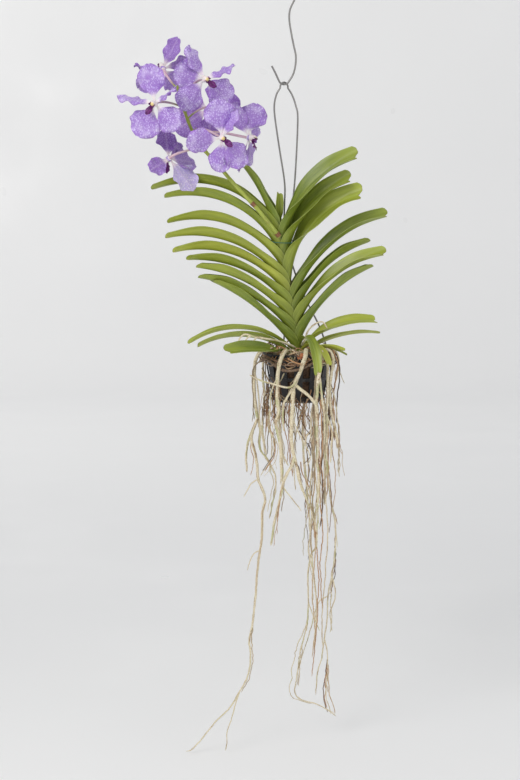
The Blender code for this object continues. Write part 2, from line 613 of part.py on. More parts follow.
def bloom(name, values, lilac, violet):
    """A bloom's five lilac blades as one node, and its lip and column as another."""
    _, middle, face, roll, blades = values
    frame = bloom_frame(face, 0)
    shapes = [ball(middle, HUB[0], HUB[1] / HUB[0], frame[0], 6, 4)]
    for blade_values in blades:
        shapes.append(petal(middle, frame, *blade_values))
    fuse(name + "_petals", shapes, lilac)
    fuse(name + "_lip", lip_shapes(middle, bloom_frame(face, roll)), violet)


def flower_spike(finish):
    """The spike with the stalks that carry the blooms, one grown body."""
    route = through(SPIKE_ROUTE, 1)
    radii = [mix(*SPIKE_RADII, i / (len(route) - 1)) for i in range(len(route))]
    shapes = [tube(route, radii, 6)]
    for share, middle, face, roll, _ in BLOOMS.values():
        face = Vector(face).normalized()
        start, along = spike_point(share)
        end = Vector(middle) - face * (HUB[1] + CLEARANCE)
        span = (end - start).length
        out = (end - start - along * (end - start).dot(along)).normalized()
        pull = (start, start + out * span * 0.3 + along * span * 0.15, end - face * span * 0.35, end)
        path = []
        for step in range(6):
            t = step / 5
            path.append(pull[0] * (1 - t) ** 3 + pull[1] * 3 * t * (1 - t) ** 2
                        + pull[2] * 3 * t * t * (1 - t) + pull[3] * t ** 3)
        shapes.append(tube(path, [mix(*STALK_RADII, i / 5) for i in range(6)], 5))
    return fuse("flower_spike", shapes, finish)


def leg_foot(turn):
    """The foot of a hanger's leg: down beside the rim and in under it, from above to its end."""
    angle = math.radians(turn)
    out = Vector((math.cos(angle), math.sin(angle), 0))
    beside = RIM_RADIUS + HANGER_WIRE / 2 + 2 * CLEARANCE
    below = -RIM_THICKNESS - HANGER_WIRE / 2 - 2 * CLEARANCE
    return [out * beside + Vector((0, 0, 8)), out * beside + Vector((0, 0, -1)),
            out * (beside - 0.8) + Vector((0, 0, below - 0.6)),
            out * (beside - 2.4) + Vector((0, 0, below - 1))]


def wires(grey):
    """The hook, bent over the bar and up round the hanger, and the hanger that hangs in its crook."""
    bend = Vector((-HANG[0], 0, -HANG[2] - HOOK_BEND))
    arc = []
    for step in range(8):
        angle = math.radians(180 * step / 7)
        reach = HOOK_BEND + HOOK_WIRE / 2
        arc.append(bend + Vector((reach * math.cos(angle), 0, reach * math.sin(angle))))
    crook = []
    for turn in range(205, 336, 26):
        angle = math.radians(turn)
        crook.append(Vector(CROOK) + CROOK_RADIUS * Vector((math.cos(angle), 0, math.sin(angle))))
    route = [Vector(p) for p in HOOK_TIP] + crook + [Vector(p) for p in HOOK_ROUTE] + arc
    route += [bend + Vector(point) for point in HOOK_END]
    add_mesh("hook_wire", *tube(through(route, 1), HOOK_WIRE / 2, 6), grey)
    rest = CROOK[2] - CROOK_RADIUS + (HOOK_WIRE + HANGER_WIRE) / 2 + CLEARANCE
    top = Vector((CROOK[0], 0, rest - ARCH_RADIUS))
    way = Vector((math.cos(math.radians(ARCH_TURN)), math.sin(math.radians(ARCH_TURN)), 0))
    arch = []
    for turn in range(180, -1, -20):
        angle = math.radians(turn)
        arch.append(top + ARCH_RADIUS * (way * math.cos(angle) + Vector((0, 0, math.sin(angle)))))
    route = list(reversed(leg_foot(LEG_TURNS[0]))) + list(LEFT_LEG) + arch
    route += list(RIGHT_LEG) + leg_foot(LEG_TURNS[1])
    add_mesh("hanger_wire", *tube(through(route, 1), HANGER_WIRE / 2, 6), grey)


def plant_tie(finish):
    """A thin tie round the shoot and both legs of the hanger, in the gaps between the leaves' feet."""
    route = [Vector(p) for p in TIE_ROUTE]
    add_mesh("plant_tie", *tube(route, TIE_WIRE / 2, 5, closed=True), finish)


def roots(name, values, finish):
    """One bunch: a lump at the crown and its strands, fused."""
    turn, strands = values
    angle = math.radians(turn)
    lump = Vector((math.cos(angle) * LUMP_RING, math.sin(angle) * LUMP_RING, -22))
    shapes = [ball(lump, LUMP_RADIUS, sides=8, rings=5)]
    for index, (thick, thin, route) in enumerate(strands):
        route = ([lump] if index == 0 else []) + [Vector(p) for p in route]
        last = len(route) - 1
        radii = [mix(thick, thin, i / last) / 2 for i in range(last)] + [thin * 0.3]
        if index == 0:
            radii[0] = 2.2
        shapes.append(tube(route, radii, 5 if thick > 4 else 4 if thick > 2.5 else 3))
    return fuse(name, shapes, finish)


def stem_root(name, values, finish):
    """A single root that leaves the stem beside a leaf's foot."""
    thick, thin, route = values
    path = [Vector(p) for p in route]
    last = len(path) - 1
    add_mesh(name, *tube(path, [mix(thick, thin, i / last) / 2 for i in range(last + 1)], 6), finish)


def basket(finish):
    """A turned cup with a flat rim, its wall and floor cut by slots."""
    outer = [(FOOT_RADIUS - 3, -BASKET_HEIGHT), (FOOT_RADIUS, -BASKET_HEIGHT + 3),
             (RIM_RADIUS - RIM_WIDTH + WALL / 2, -RIM_THICKNESS), (RIM_RADIUS, -RIM_THICKNESS),
             (RIM_RADIUS, 0)]
    inner = [(RIM_RADIUS - RIM_WIDTH, 0), (FOOT_RADIUS - WALL, -BASKET_HEIGHT + 4),
             (FOOT_RADIUS - 4, -BASKET_HEIGHT + WALL)]
    profile = outer + inner
    sides = BASKET_SIDES
    verts = [Vector((0, 0, -BASKET_HEIGHT)), Vector((0, 0, -BASKET_HEIGHT + WALL))]
    for radius, height in profile:
        for side in range(sides):
            angle = 2 * math.pi * side / sides
            verts.append(Vector((radius * math.cos(angle), radius * math.sin(angle), height)))
    faces = []
    for ring in range(len(profile) - 1):
        for side in range(sides):
            here, after = 2 + ring * sides + side, 2 + ring * sides + (side + 1) % sides
            faces.append((here, after, after + sides, here + sides))
    top = 2 + (len(profile) - 1) * sides
    for side in range(sides):
        faces.append((0, 2 + (side + 1) % sides, 2 + side))
        faces.append((1, top + side, top + (side + 1) % sides))
    cup = add_mesh("basket", verts, faces, finish)
    boxes = []
    for low, high in SLOT_TIERS:
        for slat in range(SLATS):
            angle = 2 * math.pi * (slat + 0.5) / SLATS
            out = Vector((math.cos(angle), math.sin(angle), 0))
            across = Vector((-out.y, out.x, 0))
            boxes.append(box(out * SLOT_CUT[0], out * SLOT_CUT[1], across * SLOT_WIDTH / 2, low, high))
    for slot in range(FLOOR_SLOTS):
        angle = 2 * math.pi * slot / FLOOR_SLOTS
        out = Vector((math.cos(angle), math.sin(angle), 0))
        across = Vector((-out.y, out.x, 0)) * FLOOR_SLOT_WIDTH / 2
        boxes.append(box(out * FLOOR_SLOT_CUT[0], out * FLOOR_SLOT_CUT[1], across, -BASKET_HEIGHT - 5,
                         -BASKET_HEIGHT + 5))
    verts, faces = [], []
    for points, sides_of in boxes:
        faces += [tuple(i + len(verts) for i in face) for face in sides_of]
        verts += points
    cutter = add_mesh("basket_slots", verts, faces)
    cut = cup.modifiers.new("slots", "BOOLEAN")
    cut.operation = "DIFFERENCE"
    cut.object = cutter
    cutter.hide_render = True
    cutter.display_type = "WIRE"
    return cup


def box(middle, reach, across, low, high):
    """A box round a place on the wall, as points and faces."""
    points = []
    for height in (low, high):
        for a, b in ((-1, -1), (1, -1), (1, 1), (-1, 1)):
            points.append(middle + reach * a + across * b + Vector((0, 0, height)))
    return points, [(3, 2, 1, 0), (4, 5, 6, 7), (0, 1, 5, 4), (1, 2, 6, 5), (2, 3, 7, 6), (3, 0, 4, 7)]


def bark(finish):
    """Chips that lie in the basket, sunk into each other."""
    shapes = []
    for middle, size, turn in CHIPS:
        angle = math.radians(turn)
        out = Vector((math.cos(angle), math.sin(angle), 0))
        across = Vector((-out.y, out.x, 0))
        x, y, z = middle
        shapes.append(box(Vector((x, y, 0)), out * size[0] / 2, across * size[1] / 2, z - size[2] / 2,
                          z + size[2] / 2))
    fuse("bark_chips", shapes, finish)


def remove_old():
    for old in list(bpy.data.objects):
        bpy.data.objects.remove(old)


def main():
    remove_old()
    leaf_green = material("leaf_green", (0.22, 0.33, 0.06), 0.4)
    for name, values in LONG_LEAVES.items():
        long_leaf(name, values, leaf_green)
    for name, values in SHORT_LEAVES.items():
        short_leaf(name, values, leaf_green)
    stem(material("stem_green", (0.25, 0.28, 0.1), 0.6))
    flower_spike(material("spike_green", (0.35, 0.42, 0.08), 0.5))
    lilac = material("petal_lilac", (0.4, 0.28, 0.68), 0.5)
    violet = material("lip_violet", (0.12, 0.02, 0.14), 0.4)
    for name, values in BLOOMS.items():
        bloom(name, values, lilac, violet)
    wires(material("wire_grey", (0.3, 0.3, 0.32), 0.35, 0.9))
    plant_tie(material("tie_teal", (0.02, 0.2, 0.17), 0.5))
    cream = material("root_cream", (0.55, 0.5, 0.4), 0.8)
    for name, values in ROOTS.items():
        roots(name, values, cream)
    for name, values in STEM_ROOTS.items():
        stem_root(name, values, cream)
    basket(material("basket_black", (0.02, 0.02, 0.02), 0.5))
    bark(material("bark_brown", (0.12, 0.07, 0.04), 0.9))


main()
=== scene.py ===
# %% [markdown]
# # A vanda orchid in a hanging basket
#
# This lesson dresses a measured model of a vanda orchid: a plant in flower, in a small black slatted
# basket that hangs from a bent wire hook. The solids of the model already have the right sizes and
# places. Here each of them is replaced by a finer shape that follows the same curves, and gets the
# colours, veins, spots and gloss of the living thing.
#
# The frame is loaded first.

# %% Load the measured model
import math
import random

import bmesh
import bpy
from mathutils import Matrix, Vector, noise


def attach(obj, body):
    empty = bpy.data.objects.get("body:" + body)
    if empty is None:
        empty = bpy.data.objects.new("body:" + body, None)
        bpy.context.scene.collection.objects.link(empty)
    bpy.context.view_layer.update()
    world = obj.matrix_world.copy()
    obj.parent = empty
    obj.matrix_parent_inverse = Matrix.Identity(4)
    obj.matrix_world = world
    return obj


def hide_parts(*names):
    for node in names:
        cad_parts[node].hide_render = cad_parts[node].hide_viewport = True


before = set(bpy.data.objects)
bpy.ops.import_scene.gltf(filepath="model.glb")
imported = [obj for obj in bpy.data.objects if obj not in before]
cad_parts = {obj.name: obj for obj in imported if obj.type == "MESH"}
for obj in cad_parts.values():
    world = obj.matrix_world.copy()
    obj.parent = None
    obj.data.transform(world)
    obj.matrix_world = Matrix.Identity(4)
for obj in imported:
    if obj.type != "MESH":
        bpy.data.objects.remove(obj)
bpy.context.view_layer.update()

# %% [markdown]
# ## Measures
#
# A plant is easiest to lay out round one fixed point. Here that is the centre of the basket's rim, with
# X to the right, Y away from the viewer and Z up, in millimetres. `place` turns such a point into the
# world's metres, below the hook that carries everything. Two small functions do most of the shaping:
# `ease` gives a soft step from 0 to 1, and `mix` goes from one value to another.

# %% Units, places and easing
MM = 0.001
HANG = Vector((12, 0, -518))
LEFT, RIGHT = -1, 1


def place(point):
    """A point of the plant in the world's metres."""
    return (Vector(point) + HANG) * MM


def ease(value):
    """A soft step from 0 to 1."""
    value = min(max(value, 0.0), 1.0)
    return value * value * (3 - 2 * value)


def mix(a, b, amount):
    """The value at a share of the way from a to b."""
    return a + (b - a) * amount


def rough(x, y, seed):
    """A smooth random value between -1 and 1 that is the same in each run."""
    return noise.noise(Vector((x, y, seed * 7.31)))


print("the basket's rim hangs", round(-HANG.z), "mm below the hook")

# %% [markdown]
# ## Curves
#
# Roots, wires and stalks are all given as a few points that a maker would mark on the bench. A
# Catmull-Rom spline runs through every point, so the marks stay where they were put, which a Bezier
# with hand-set handles would make harder to keep. `resample` then walks along it in even steps, so the
# tube's rings are evenly spaced.

# %% Smooth lines through marked points
def through(points, steps=8):
    """A smooth line through the given points."""
    route = [Vector(p) for p in points]
    ends = [2 * route[0] - route[1]] + route + [2 * route[-1] - route[-2]]
    line = []
    for index in range(len(route) - 1):
        a, b, c, d = ends[index:index + 4]
        for step in range(steps):
            t = step / steps
            line.append(0.5 * (2 * b + (c - a) * t + (2 * a - 5 * b + 4 * c - d) * t ** 2
                               + (3 * b - a - 3 * c + d) * t ** 3))
    line.append(route[-1])
    return line


def resample(line, gap):
    """The same line with points an even distance apart."""
    lengths = [0.0]
    for a, b in zip(line, line[1:]):
        lengths.append(lengths[-1] + (b - a).length)
    count = max(int(lengths[-1] / gap), 2)
    even, index = [], 0
    for step in range(count + 1):
        goal = lengths[-1] * step / count
        while index < len(line) - 2 and lengths[index + 1] < goal:
            index += 1
        span = max(lengths[index + 1] - lengths[index], 1e-9)
        even.append(line[index].lerp(line[index + 1], (goal - lengths[index]) / span))
    return even, lengths[-1]


sample, sample_length = resample(through([(0, 0, 0), (10, 0, 5), (20, 0, 0)]), 2)
print("a test line of", round(sample_length, 1), "mm has", len(sample), "points")

# %% [markdown]
# ## Shapes
#
# Two kinds of shape do most of the work. A **tube** is rings of points along a line. A **blade** is two
# grids of points, one for each face, closed along the border, because a leaf or petal with a real
# thickness catches light on its edge and casts a soft shadow, which a single sheet does not. Every point
# also carries marks for the material: how far across and along it lies in millimetres, its share of the
# length, how near it is to the edge, which face it is on, how pale that blade is, and a seed, so that no
# two leaves or roots have the same pattern. On a tube the mark for the face says how dry it is.

# %% A body gathers points, faces and marks
class Body:
    """Points, faces and marks that become one mesh."""

    def __init__(self):
        self.points, self.faces, self.lay, self.edge, self.side = [], [], [], [], []
        self.seed, self.tone = [], []

    def add_point(self, point, lay, edge, side, seed, tone=0.0):
        self.points.append(point)
        self.lay.append(lay)
        self.edge.append(edge)
        self.side.append(side)
        self.seed.append(seed)
        self.tone.append(tone)

    def add_tube(self, line, radii, sides, seed=0.0, side=1.0):
        """Rings along a line, closed at both ends."""
        first = len(self.points)
        normal, run = None, 0.0
        last = len(line) - 1
        for index, centre in enumerate(line):
            along = (line[min(index + 1, last)] - line[max(index - 1, 0)]).normalized()
            if normal is None:
                normal = along.orthogonal().normalized()
            normal = (normal - along * normal.dot(along)).normalized()
            other = along.cross(normal)
            if index:
                run += (line[index] - line[index - 1]).length
            for step in range(sides):
                angle = 2 * math.pi * step / sides
                out = math.cos(angle) * normal + math.sin(angle) * other
                self.add_point(centre + radii[index] * out, (angle * radii[index], run, index / last),
                               step / sides, side, seed)
        for index in range(last):
            here = first + index * sides
            for step in range(sides):
                after = (step + 1) % sides
                self.faces.append((here + step, here + after, here + sides + after, here + sides + step))
        self.faces.append(tuple(first + step for step in reversed(range(sides))))
        self.faces.append(tuple(first + last * sides + step for step in range(sides)))

    def add_blade(self, top, bottom, lay, edge, seed=0.0, tone=0.0):
        """Two grids of points, closed along their border."""
        first = len(self.points)
        rows, columns = len(top), len(top[0])
        for side, grid in ((1.0, top), (0.0, bottom)):
            for row in range(rows):
                for column in range(columns):
                    self.add_point(grid[row][column], lay[row][column], edge[column], side, seed, tone)
        below = rows * columns
        for row in range(rows - 1):
            for column in range(columns - 1):
                a = first + row * columns + column
                quad = (a, a + 1, a + columns + 1, a + columns)
                self.faces.append(quad)
                self.faces.append(tuple(below + i for i in reversed(quad)))
        border = list(range(columns))
        border += [row * columns + columns - 1 for row in range(1, rows)]
        border += [(rows - 1) * columns + column for column in reversed(range(columns - 1))]
        border += [row * columns for row in reversed(range(1, rows - 1))]
        for a, b in zip(border, border[1:] + border[:1]):
            self.faces.append((first + b, first + a, first + below + a, first + below + b))


print("a body holds points with marks for", ("lay", "edge", "side", "seed", "tone"))

# %% [markdown]
# ## From a body to a piece
#
# Blender keeps such marks as attributes of the mesh, and a material reads them by name. A texture laid
# out in these marks bends with the leaf, while one laid out in the object's own X, Y and Z would cut
# straight through it. `finish_piece` also hides the solids that the piece replaces, gives it its material
# and makes it ride with the plant.

# %% Make the mesh and seat it in the frame
pieces_made = {}


def finish_piece(name, body, finish, nodes=(), look=None):
    """Turn a body into an object that rides on the frame."""
    mesh = bpy.data.meshes.new(name)
    mesh.from_pydata([place(p) for p in body.points], [], body.faces)
    for title, kind, values in (("lay", "FLOAT_VECTOR", body.lay), ("edge", "FLOAT", body.edge),
                                ("side", "FLOAT", body.side), ("seed", "FLOAT", body.seed),
                                ("tone", "FLOAT", body.tone)):
        mark = mesh.attributes.new(title, kind, "POINT")
        if kind == "FLOAT":
            mark.data.foreach_set("value", values)
        else:
            mark.data.foreach_set("vector", [v for point in values for v in point])
    if look:
        mark = mesh.attributes.new("look", "FLOAT_VECTOR", "POINT")
        mark.data.foreach_set("vector", list(look) * len(body.points))
    form = bmesh.new()
    form.from_mesh(mesh)
    bmesh.ops.recalc_face_normals(form, faces=form.faces)
    form.to_mesh(mesh)
    form.free()
    mesh.shade_smooth()
    mesh.set_sharp_from_angle(angle=math.radians(50))
    mesh.materials.append(finish)
    piece = bpy.data.objects.new(name, mesh)
    bpy.context.scene.collection.objects.link(piece)
    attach(piece, "root")
    if nodes:
        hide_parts(*nodes)
    pieces_made[name] = len(mesh.polygons)
    return piece


print("pieces so far:", len(pieces_made))

# %% [markdown]
# ## Building materials from nodes
#
# Each finish is a Principled shader with textures worked out by nodes, because a painted image would
# fix the size of the detail and could not follow a change of shape. These few helpers keep the recipes
# short: `add` makes a node and fills its sockets, and the others are the nodes that are used most.

# %% Helpers for node recipes
def new_finish(name):
    """A Principled material, its nodes and its shader."""
    finish = bpy.data.materials.new(name)
    finish.use_nodes = True
    tree = finish.node_tree
    return finish, tree, tree.nodes["Principled BSDF"]


def add(tree, kind, sockets=None, **settings):
    """Make a node, with values or links for its input sockets."""
    made = tree.nodes.new("ShaderNode" + kind)
    for title, value in settings.items():
        setattr(made, title, value)
    for title, value in (sockets or {}).items():
        if isinstance(value, bpy.types.NodeSocket):
            tree.links.new(value, made.inputs[title])
        else:
            made.inputs[title].default_value = value
    return made


def mark(tree, title, output="Fac"):
    """One of the marks that the points carry."""
    return add(tree, "Attribute", attribute_name=title).outputs[output]


def split(tree, vector):
    """The three parts of a vector."""
    made = add(tree, "SeparateXYZ", {"Vector": vector})
    return made.outputs["X"], made.outputs["Y"], made.outputs["Z"]


def join(tree, x, y, z):
    """A vector from three parts."""
    return add(tree, "CombineXYZ", {"X": x, "Y": y, "Z": z}).outputs["Vector"]


def sum_of(tree, kind, a, b):
    """A sum of two values, such as DIVIDE or MAXIMUM."""
    return add(tree, "Math", {0: a, 1: b}, operation=kind).outputs["Value"]


def times(tree, a, b):
    """Two values multiplied."""
    return sum_of(tree, "MULTIPLY", a, b)


def plus(tree, a, b):
    """Two values added."""
    return sum_of(tree, "ADD", a, b)


def rest_of(tree, value):
    """What a value lacks to 1."""
    return sum_of(tree, "SUBTRACT", 1.0, value)


def fade(tree, value, low, high):
    """0 below the low value, 1 above the high one, soft between them."""
    made = add(tree, "MapRange", {"Value": value, "From Min": low, "From Max": high},
               interpolation_type="SMOOTHSTEP")
    return made.outputs["Result"]


def blend(tree, amount, a, b, kind="MIX"):
    """Two colours mixed."""
    made = add(tree, "Mix", {"Factor": amount}, data_type="RGBA", blend_type=kind)
    for socket, value in ((6, a), (7, b)):
        if isinstance(value, bpy.types.NodeSocket):
            tree.links.new(value, made.inputs[socket])
        else:
            made.inputs[socket].default_value = (*value, 1)
    return made.outputs[2]


def clouds(tree, vector, scale, detail=3.0, roughness=0.55, distortion=0.0):
    """Soft random clouds between 0 and 1."""
    made = add(tree, "TexNoise", {"Vector": vector, "Scale": scale, "Detail": detail,
                                  "Roughness": roughness, "Distortion": distortion})
    return made.outputs["Fac"]


def relief(tree, shader, height, strength, distance):
    """Let a height shape the light on the surface."""
    made = add(tree, "Bump", {"Height": height, "Strength": strength, "Distance": distance})
    tree.links.new(made.outputs["Normal"], shader.inputs["Normal"])


def dress(tree, shader, colour, cloud, spread, low):
    """Link the colour, and a roughness that follows a cloud up from its low value."""
    tree.links.new(plus(tree, times(tree, cloud, spread), low), shader.inputs["Roughness"])
    tree.links.new(colour, shader.inputs["Base Color"])


def sink_light(shader, weight, reach):
    """Let some light sink into the surface and come out tinted."""
    shader.inputs["Subsurface Weight"].default_value = weight
    shader.inputs["Subsurface Radius"].default_value = reach


print("helpers ready")

# %% [markdown]
# ## The leaf's finish
#
# A vanda leaf is a thick strap with a wax coat. Its fine parallel veins run the whole length, its keel is
# pale, it turns yellower towards the tip, and old leaves have pale and brown specks. All of that follows
# the leaf's own length and width, so the nodes read the `lay` mark. Three numbers for each leaf, `look`,
# say how yellow, how dark and how spotted it is, so that one recipe serves every leaf. The darkness is
# partly the leaf's own tone and partly painted shade. Each leaf also has painted shade towards its foot,
# where the leaves above shade the bases.

# %% Leaf wax
def leaf_finish():
    """Waxy green with parallel veins, a pale keel, yellowing tips, specks and painted shade at the foot."""
    finish, tree, shader = new_finish("leaf_wax")
    lay = mark(tree, "lay", "Vector")
    across, along, share = split(tree, lay)
    yellow, dark, spots = split(tree, mark(tree, "look", "Vector"))
    edge = mark(tree, "edge")
    seed = mark(tree, "seed")
    sheet = join(tree, across, times(tree, along, 0.12), seed)
    broad = clouds(tree, sheet, 0.16, 3, 0.5)
    streaks = clouds(tree, join(tree, across, times(tree, along, 0.03), seed), 1.4, 3, 0.6)
    green = blend(tree, fade(tree, broad, 0.35, 0.68), (0.15, 0.21, 0.018), (0.29, 0.36, 0.035))
    green = blend(tree, yellow, green, (0.56, 0.56, 0.075))
    # Painted shade: the look's dark value darkens the whole leaf, partly as its own tone and partly as
    # shade.
    green = blend(tree, dark, green, (0.06, 0.11, 0.006))
    tip = times(tree, fade(tree, share, 0.55, 1.0), 0.42)
    green = blend(tree, tip, green, (0.4, 0.46, 0.06))
    # Painted shade: the green darkens towards the leaf's foot, where the leaves above shade the bases.
    foot = times(tree, fade(tree, rest_of(tree, share), 0.78, 1.0), 0.55)
    green = blend(tree, foot, green, (0.1, 0.13, 0.01))
    veins = times(tree, fade(tree, streaks, 0.4, 0.65), 0.28)
    green = blend(tree, veins, green, (0.4, 0.46, 0.08))
    keel = fade(tree, rest_of(tree, edge), 0.9, 0.985)
    green = blend(tree, times(tree, keel, 0.3), green, (0.42, 0.5, 0.17))
    margin = times(tree, fade(tree, edge, 0.93, 1.0), 0.35)
    green = blend(tree, margin, green, (0.42, 0.48, 0.14))
    specks = clouds(tree, sheet, 1.3, 4, 0.7)
    speck = times(tree, fade(tree, specks, 0.6, 0.7), spots)
    green = blend(tree, speck, green, (0.55, 0.52, 0.12))
    brown = clouds(tree, join(tree, across, along, seed), 0.42, 5, 0.7)
    burnt = times(tree, fade(tree, brown, 0.66, 0.74), times(tree, spots, 0.8))
    dry = fade(tree, plus(tree, share, times(tree, brown, 0.03)), 1.011, 1.021)
    green = blend(tree, sum_of(tree, "MAXIMUM", burnt, dry), green, (0.16, 0.085, 0.03))
    dress(tree, shader, green, broad, 0.22, 0.3)
    shader.inputs["Coat Weight"].default_value = 0.12
    shader.inputs["Coat Roughness"].default_value = 0.3
    sink_light(shader, 0.08, (0.002, 0.003, 0.001))
    relief(tree, shader, plus(tree, streaks, times(tree, broad, 1.5)), 0.35, 0.0004)
    return finish


leaf_wax = leaf_finish()
print("leaf finish:", len(leaf_wax.node_tree.nodes), "nodes")

# %% [markdown]
# ## Long leaves
#
# The long leaves stand in two ranks, left and right, and each is folded like a gutter: at its foot the
# walls clasp the stem, further out they open to a V, and at the end the blade is cut off blunt with two
# uneven lobes. Such a leaf could be bent from a flat strip with modifiers, but a loft is easier to keep
# exact: a keel line that starts steep and arches over, and a section that changes along it.
#
# Each row of the table is one leaf: its side, height on the stem, turn to the front, rise at the stem,
# rise at the tip, bend, length, width, fold and twist. A short leaf belongs to no rank, so its row has no
# side. The last table says how yellow, dark and spotted each one is. The darkness is partly the leaf's own
# tone and partly painted shade.

# %% The leaves' tables
STEM_TOP, STEM_LEAN, STEM_TILT, STEM_RADIUS = 184, 30, 10, 4.4
CROWN_RADIUS, CROWN_HEIGHT, STEM_FOOT = 7, 50, -30
CLEARANCE, LEAF_THICKNESS = 0.3, 0.7
SHEATH_HALF_GAP, SHEATH_FLARE, SHEATH_LENGTH, SHEATH_WALL, SHEATH_RISE = 5.3, 0.15, 24, 10.5, 87
TIP_RISE, KEEL_FLOOR, NOTCH_SHARE, NOTCH_MOST = 56, 2.4, 0.035, 5
TWIST_FOOT, TWIST_SPAN = 0.14, 0.44
# Where the walls and the floor of a long leaf change, in millimetres along it or as a share of its length
FLOOR_NARROWS, WALL_START, WALL_SPAN, OPEN_START, OPEN_SPAN = 100, 10, 50, 8, 60
END_START, END_FLOOR, END_WIDTH, TIP_OPENS = 0.7, 0.5, 0.88, 0.6

LONG_LEAVES = {
    "leaf_left_01": (LEFT, 171, -9, 76, 50, 1.0, 102, 27, 68, 0),
    "leaf_left_02": (LEFT, 160, -8, 70, -18, 1.25, 208, 32, 63, 0),
    "leaf_right_01": (RIGHT, 151, 6, 84, 20, 1.1, 168, 38, 38, 38),
    "leaf_left_03": (LEFT, 142, -4, 66, -12, 1.1, 190, 32, 63, 0),
    "leaf_right_02": (RIGHT, 133.5, 7, 84, 22, 1.15, 148, 36, 38, 40),
    "leaf_left_04": (LEFT, 125, -2, 58, -16, 1.05, 180, 33, 63, 0),
    "leaf_right_03": (RIGHT, 110, 9, 84, 12, 1.0, 160, 40, 30, 50),
    "leaf_left_05": (LEFT, 100, 1, 56, -13, 1.05, 188, 33, 63, 0),
    "leaf_left_06": (LEFT, 86.6, 2, 55, -14, 1.05, 178, 32, 63, 0),
    "leaf_right_04": (RIGHT, 77, -4, 72, 14, 1.1, 182, 34, 50, 24),
    "leaf_left_07": (LEFT, 68, 5, 55, -4, 1.05, 163, 30, 63, 0),
    "leaf_right_05": (RIGHT, 59.5, -8, 71, 17, 1.1, 148, 29, 62, 0),
    "leaf_left_08": (LEFT, 51, 7, 53, 6, 1.05, 155, 31, 63, 0),
    "leaf_right_06": (RIGHT, 42, 7, 70, 11, 1.1, 164, 32, 48, 26),
    "leaf_left_09": (LEFT, 32, 4, 54, 8, 1.05, 156, 29, 63, 0),
    "leaf_right_07": (RIGHT, 22, 2, 68, 24, 1.1, 146, 30, 64, 0),
    "leaf_left_10": (LEFT, 12.5, 4, 54, 24, 1.05, 150, 28, 63, 0),
}
SHORT_LEAVES = {
    "leaf_heart": (172.2, 180, 86, 96, 1.0, 50, 16, 50, -50),
    "leaf_foot_left_1": (3, 190, 42, -34, 1.0, 160, 23, 52, 0),
    "leaf_foot_left_2": (-3, 164, 34, -30, 1.0, 150, 26, 52, 0),
    "leaf_foot_left_3": (-6, 223, 18, -4, 1.0, 130, 30, 44, -30),
    "leaf_foot_right_1": (6, 2, 46, -8, 1.0, 116, 28, 40, 25),
    "leaf_foot_right_2": (-1, 30, 26, -8, 1.0, 136, 17, 50, 0),
    "leaf_foot_right_3": (-3, 334, 32, -18, 1.0, 66, 17, 50, 0),
    "leaf_foot_right_4": (-5, 4, 34, -34, 1.0, 66, 10, 50, 0),
    "leaf_foot_front_1": (1, 303, 42, -64, 1.0, 82, 13, 40, 0),
    "leaf_foot_front_2": (8, 286, 48, -88, 1.0, 118, 15, 40, 0),
}
PLAIN_LOOK = (0.12, 0.1, 0.05)
LEAF_LOOKS = {
    "leaf_left_01": (0.0, 0.35, 0.0), "leaf_left_02": (0.16, 0.1, 0.0),
    "leaf_left_03": (0.14, 0.12, 0.0), "leaf_left_04": (0.3, 0.0, 0.05),
    "leaf_left_05": (0.34, 0.0, 0.05), "leaf_left_06": (0.5, 0.0, 0.15),
    "leaf_left_07": (0.16, 0.16, 0.1), "leaf_left_08": (0.24, 0.08, 0.15),
    "leaf_left_09": (0.1, 0.35, 0.1), "leaf_left_10": (0.05, 0.45, 0.1),
    "leaf_right_01": (0.0, 0.42, 0.1), "leaf_right_02": (0.1, 0.3, 0.05),
    "leaf_right_03": (0.22, 0.1, 0.05), "leaf_right_04": (0.0, 0.35, 0.15),
    "leaf_right_05": (0.05, 0.3, 0.15), "leaf_right_06": (0.2, 0.15, 0.2),
    "leaf_right_07": (0.0, 0.5, 0.1), "leaf_foot_left_1": (0.2, 0.05, 0.25),
    "leaf_foot_left_2": (0.25, 0.2, 0.4), "leaf_foot_left_3": (0.05, 0.4, 0.4),
    "leaf_foot_right_1": (0.35, 0.0, 0.4), "leaf_foot_right_2": (0.45, 0.0, 0.5),
    "leaf_foot_right_3": (0.55, 0.0, 0.6), "leaf_foot_right_4": (0.3, 0.3, 0.3),
    "leaf_foot_front_1": (0.85, 0.0, 0.8), "leaf_foot_front_2": (0.05, 0.25, 0.15),
}
print("long leaves:", len(LONG_LEAVES), "short leaves:", len(SHORT_LEAVES))

# %% [markdown]
# The keel line is walked in small steps, with the rise easing from its value at the stem to its value at
# the tip. The last part of the blade is stretched or held back across its width, which gives the bitten,
# two-lobed end without any cutting.

# %% Leaf shape
def stem_x(height):
    """How far the stem stands to the left at a height."""
    return -STEM_LEAN * (max(height, 0) / STEM_TOP) ** 1.3


def stem_radius(height):
    """The stem's radius at a height."""
    return mix(CROWN_RADIUS, STEM_RADIUS, ease((height - STEM_FOOT) / CROWN_HEIGHT))


KEEL_STEPS = 160
TAIL, TAIL_LEAN, TAIL_SETTLE = 16, 0.12, 5


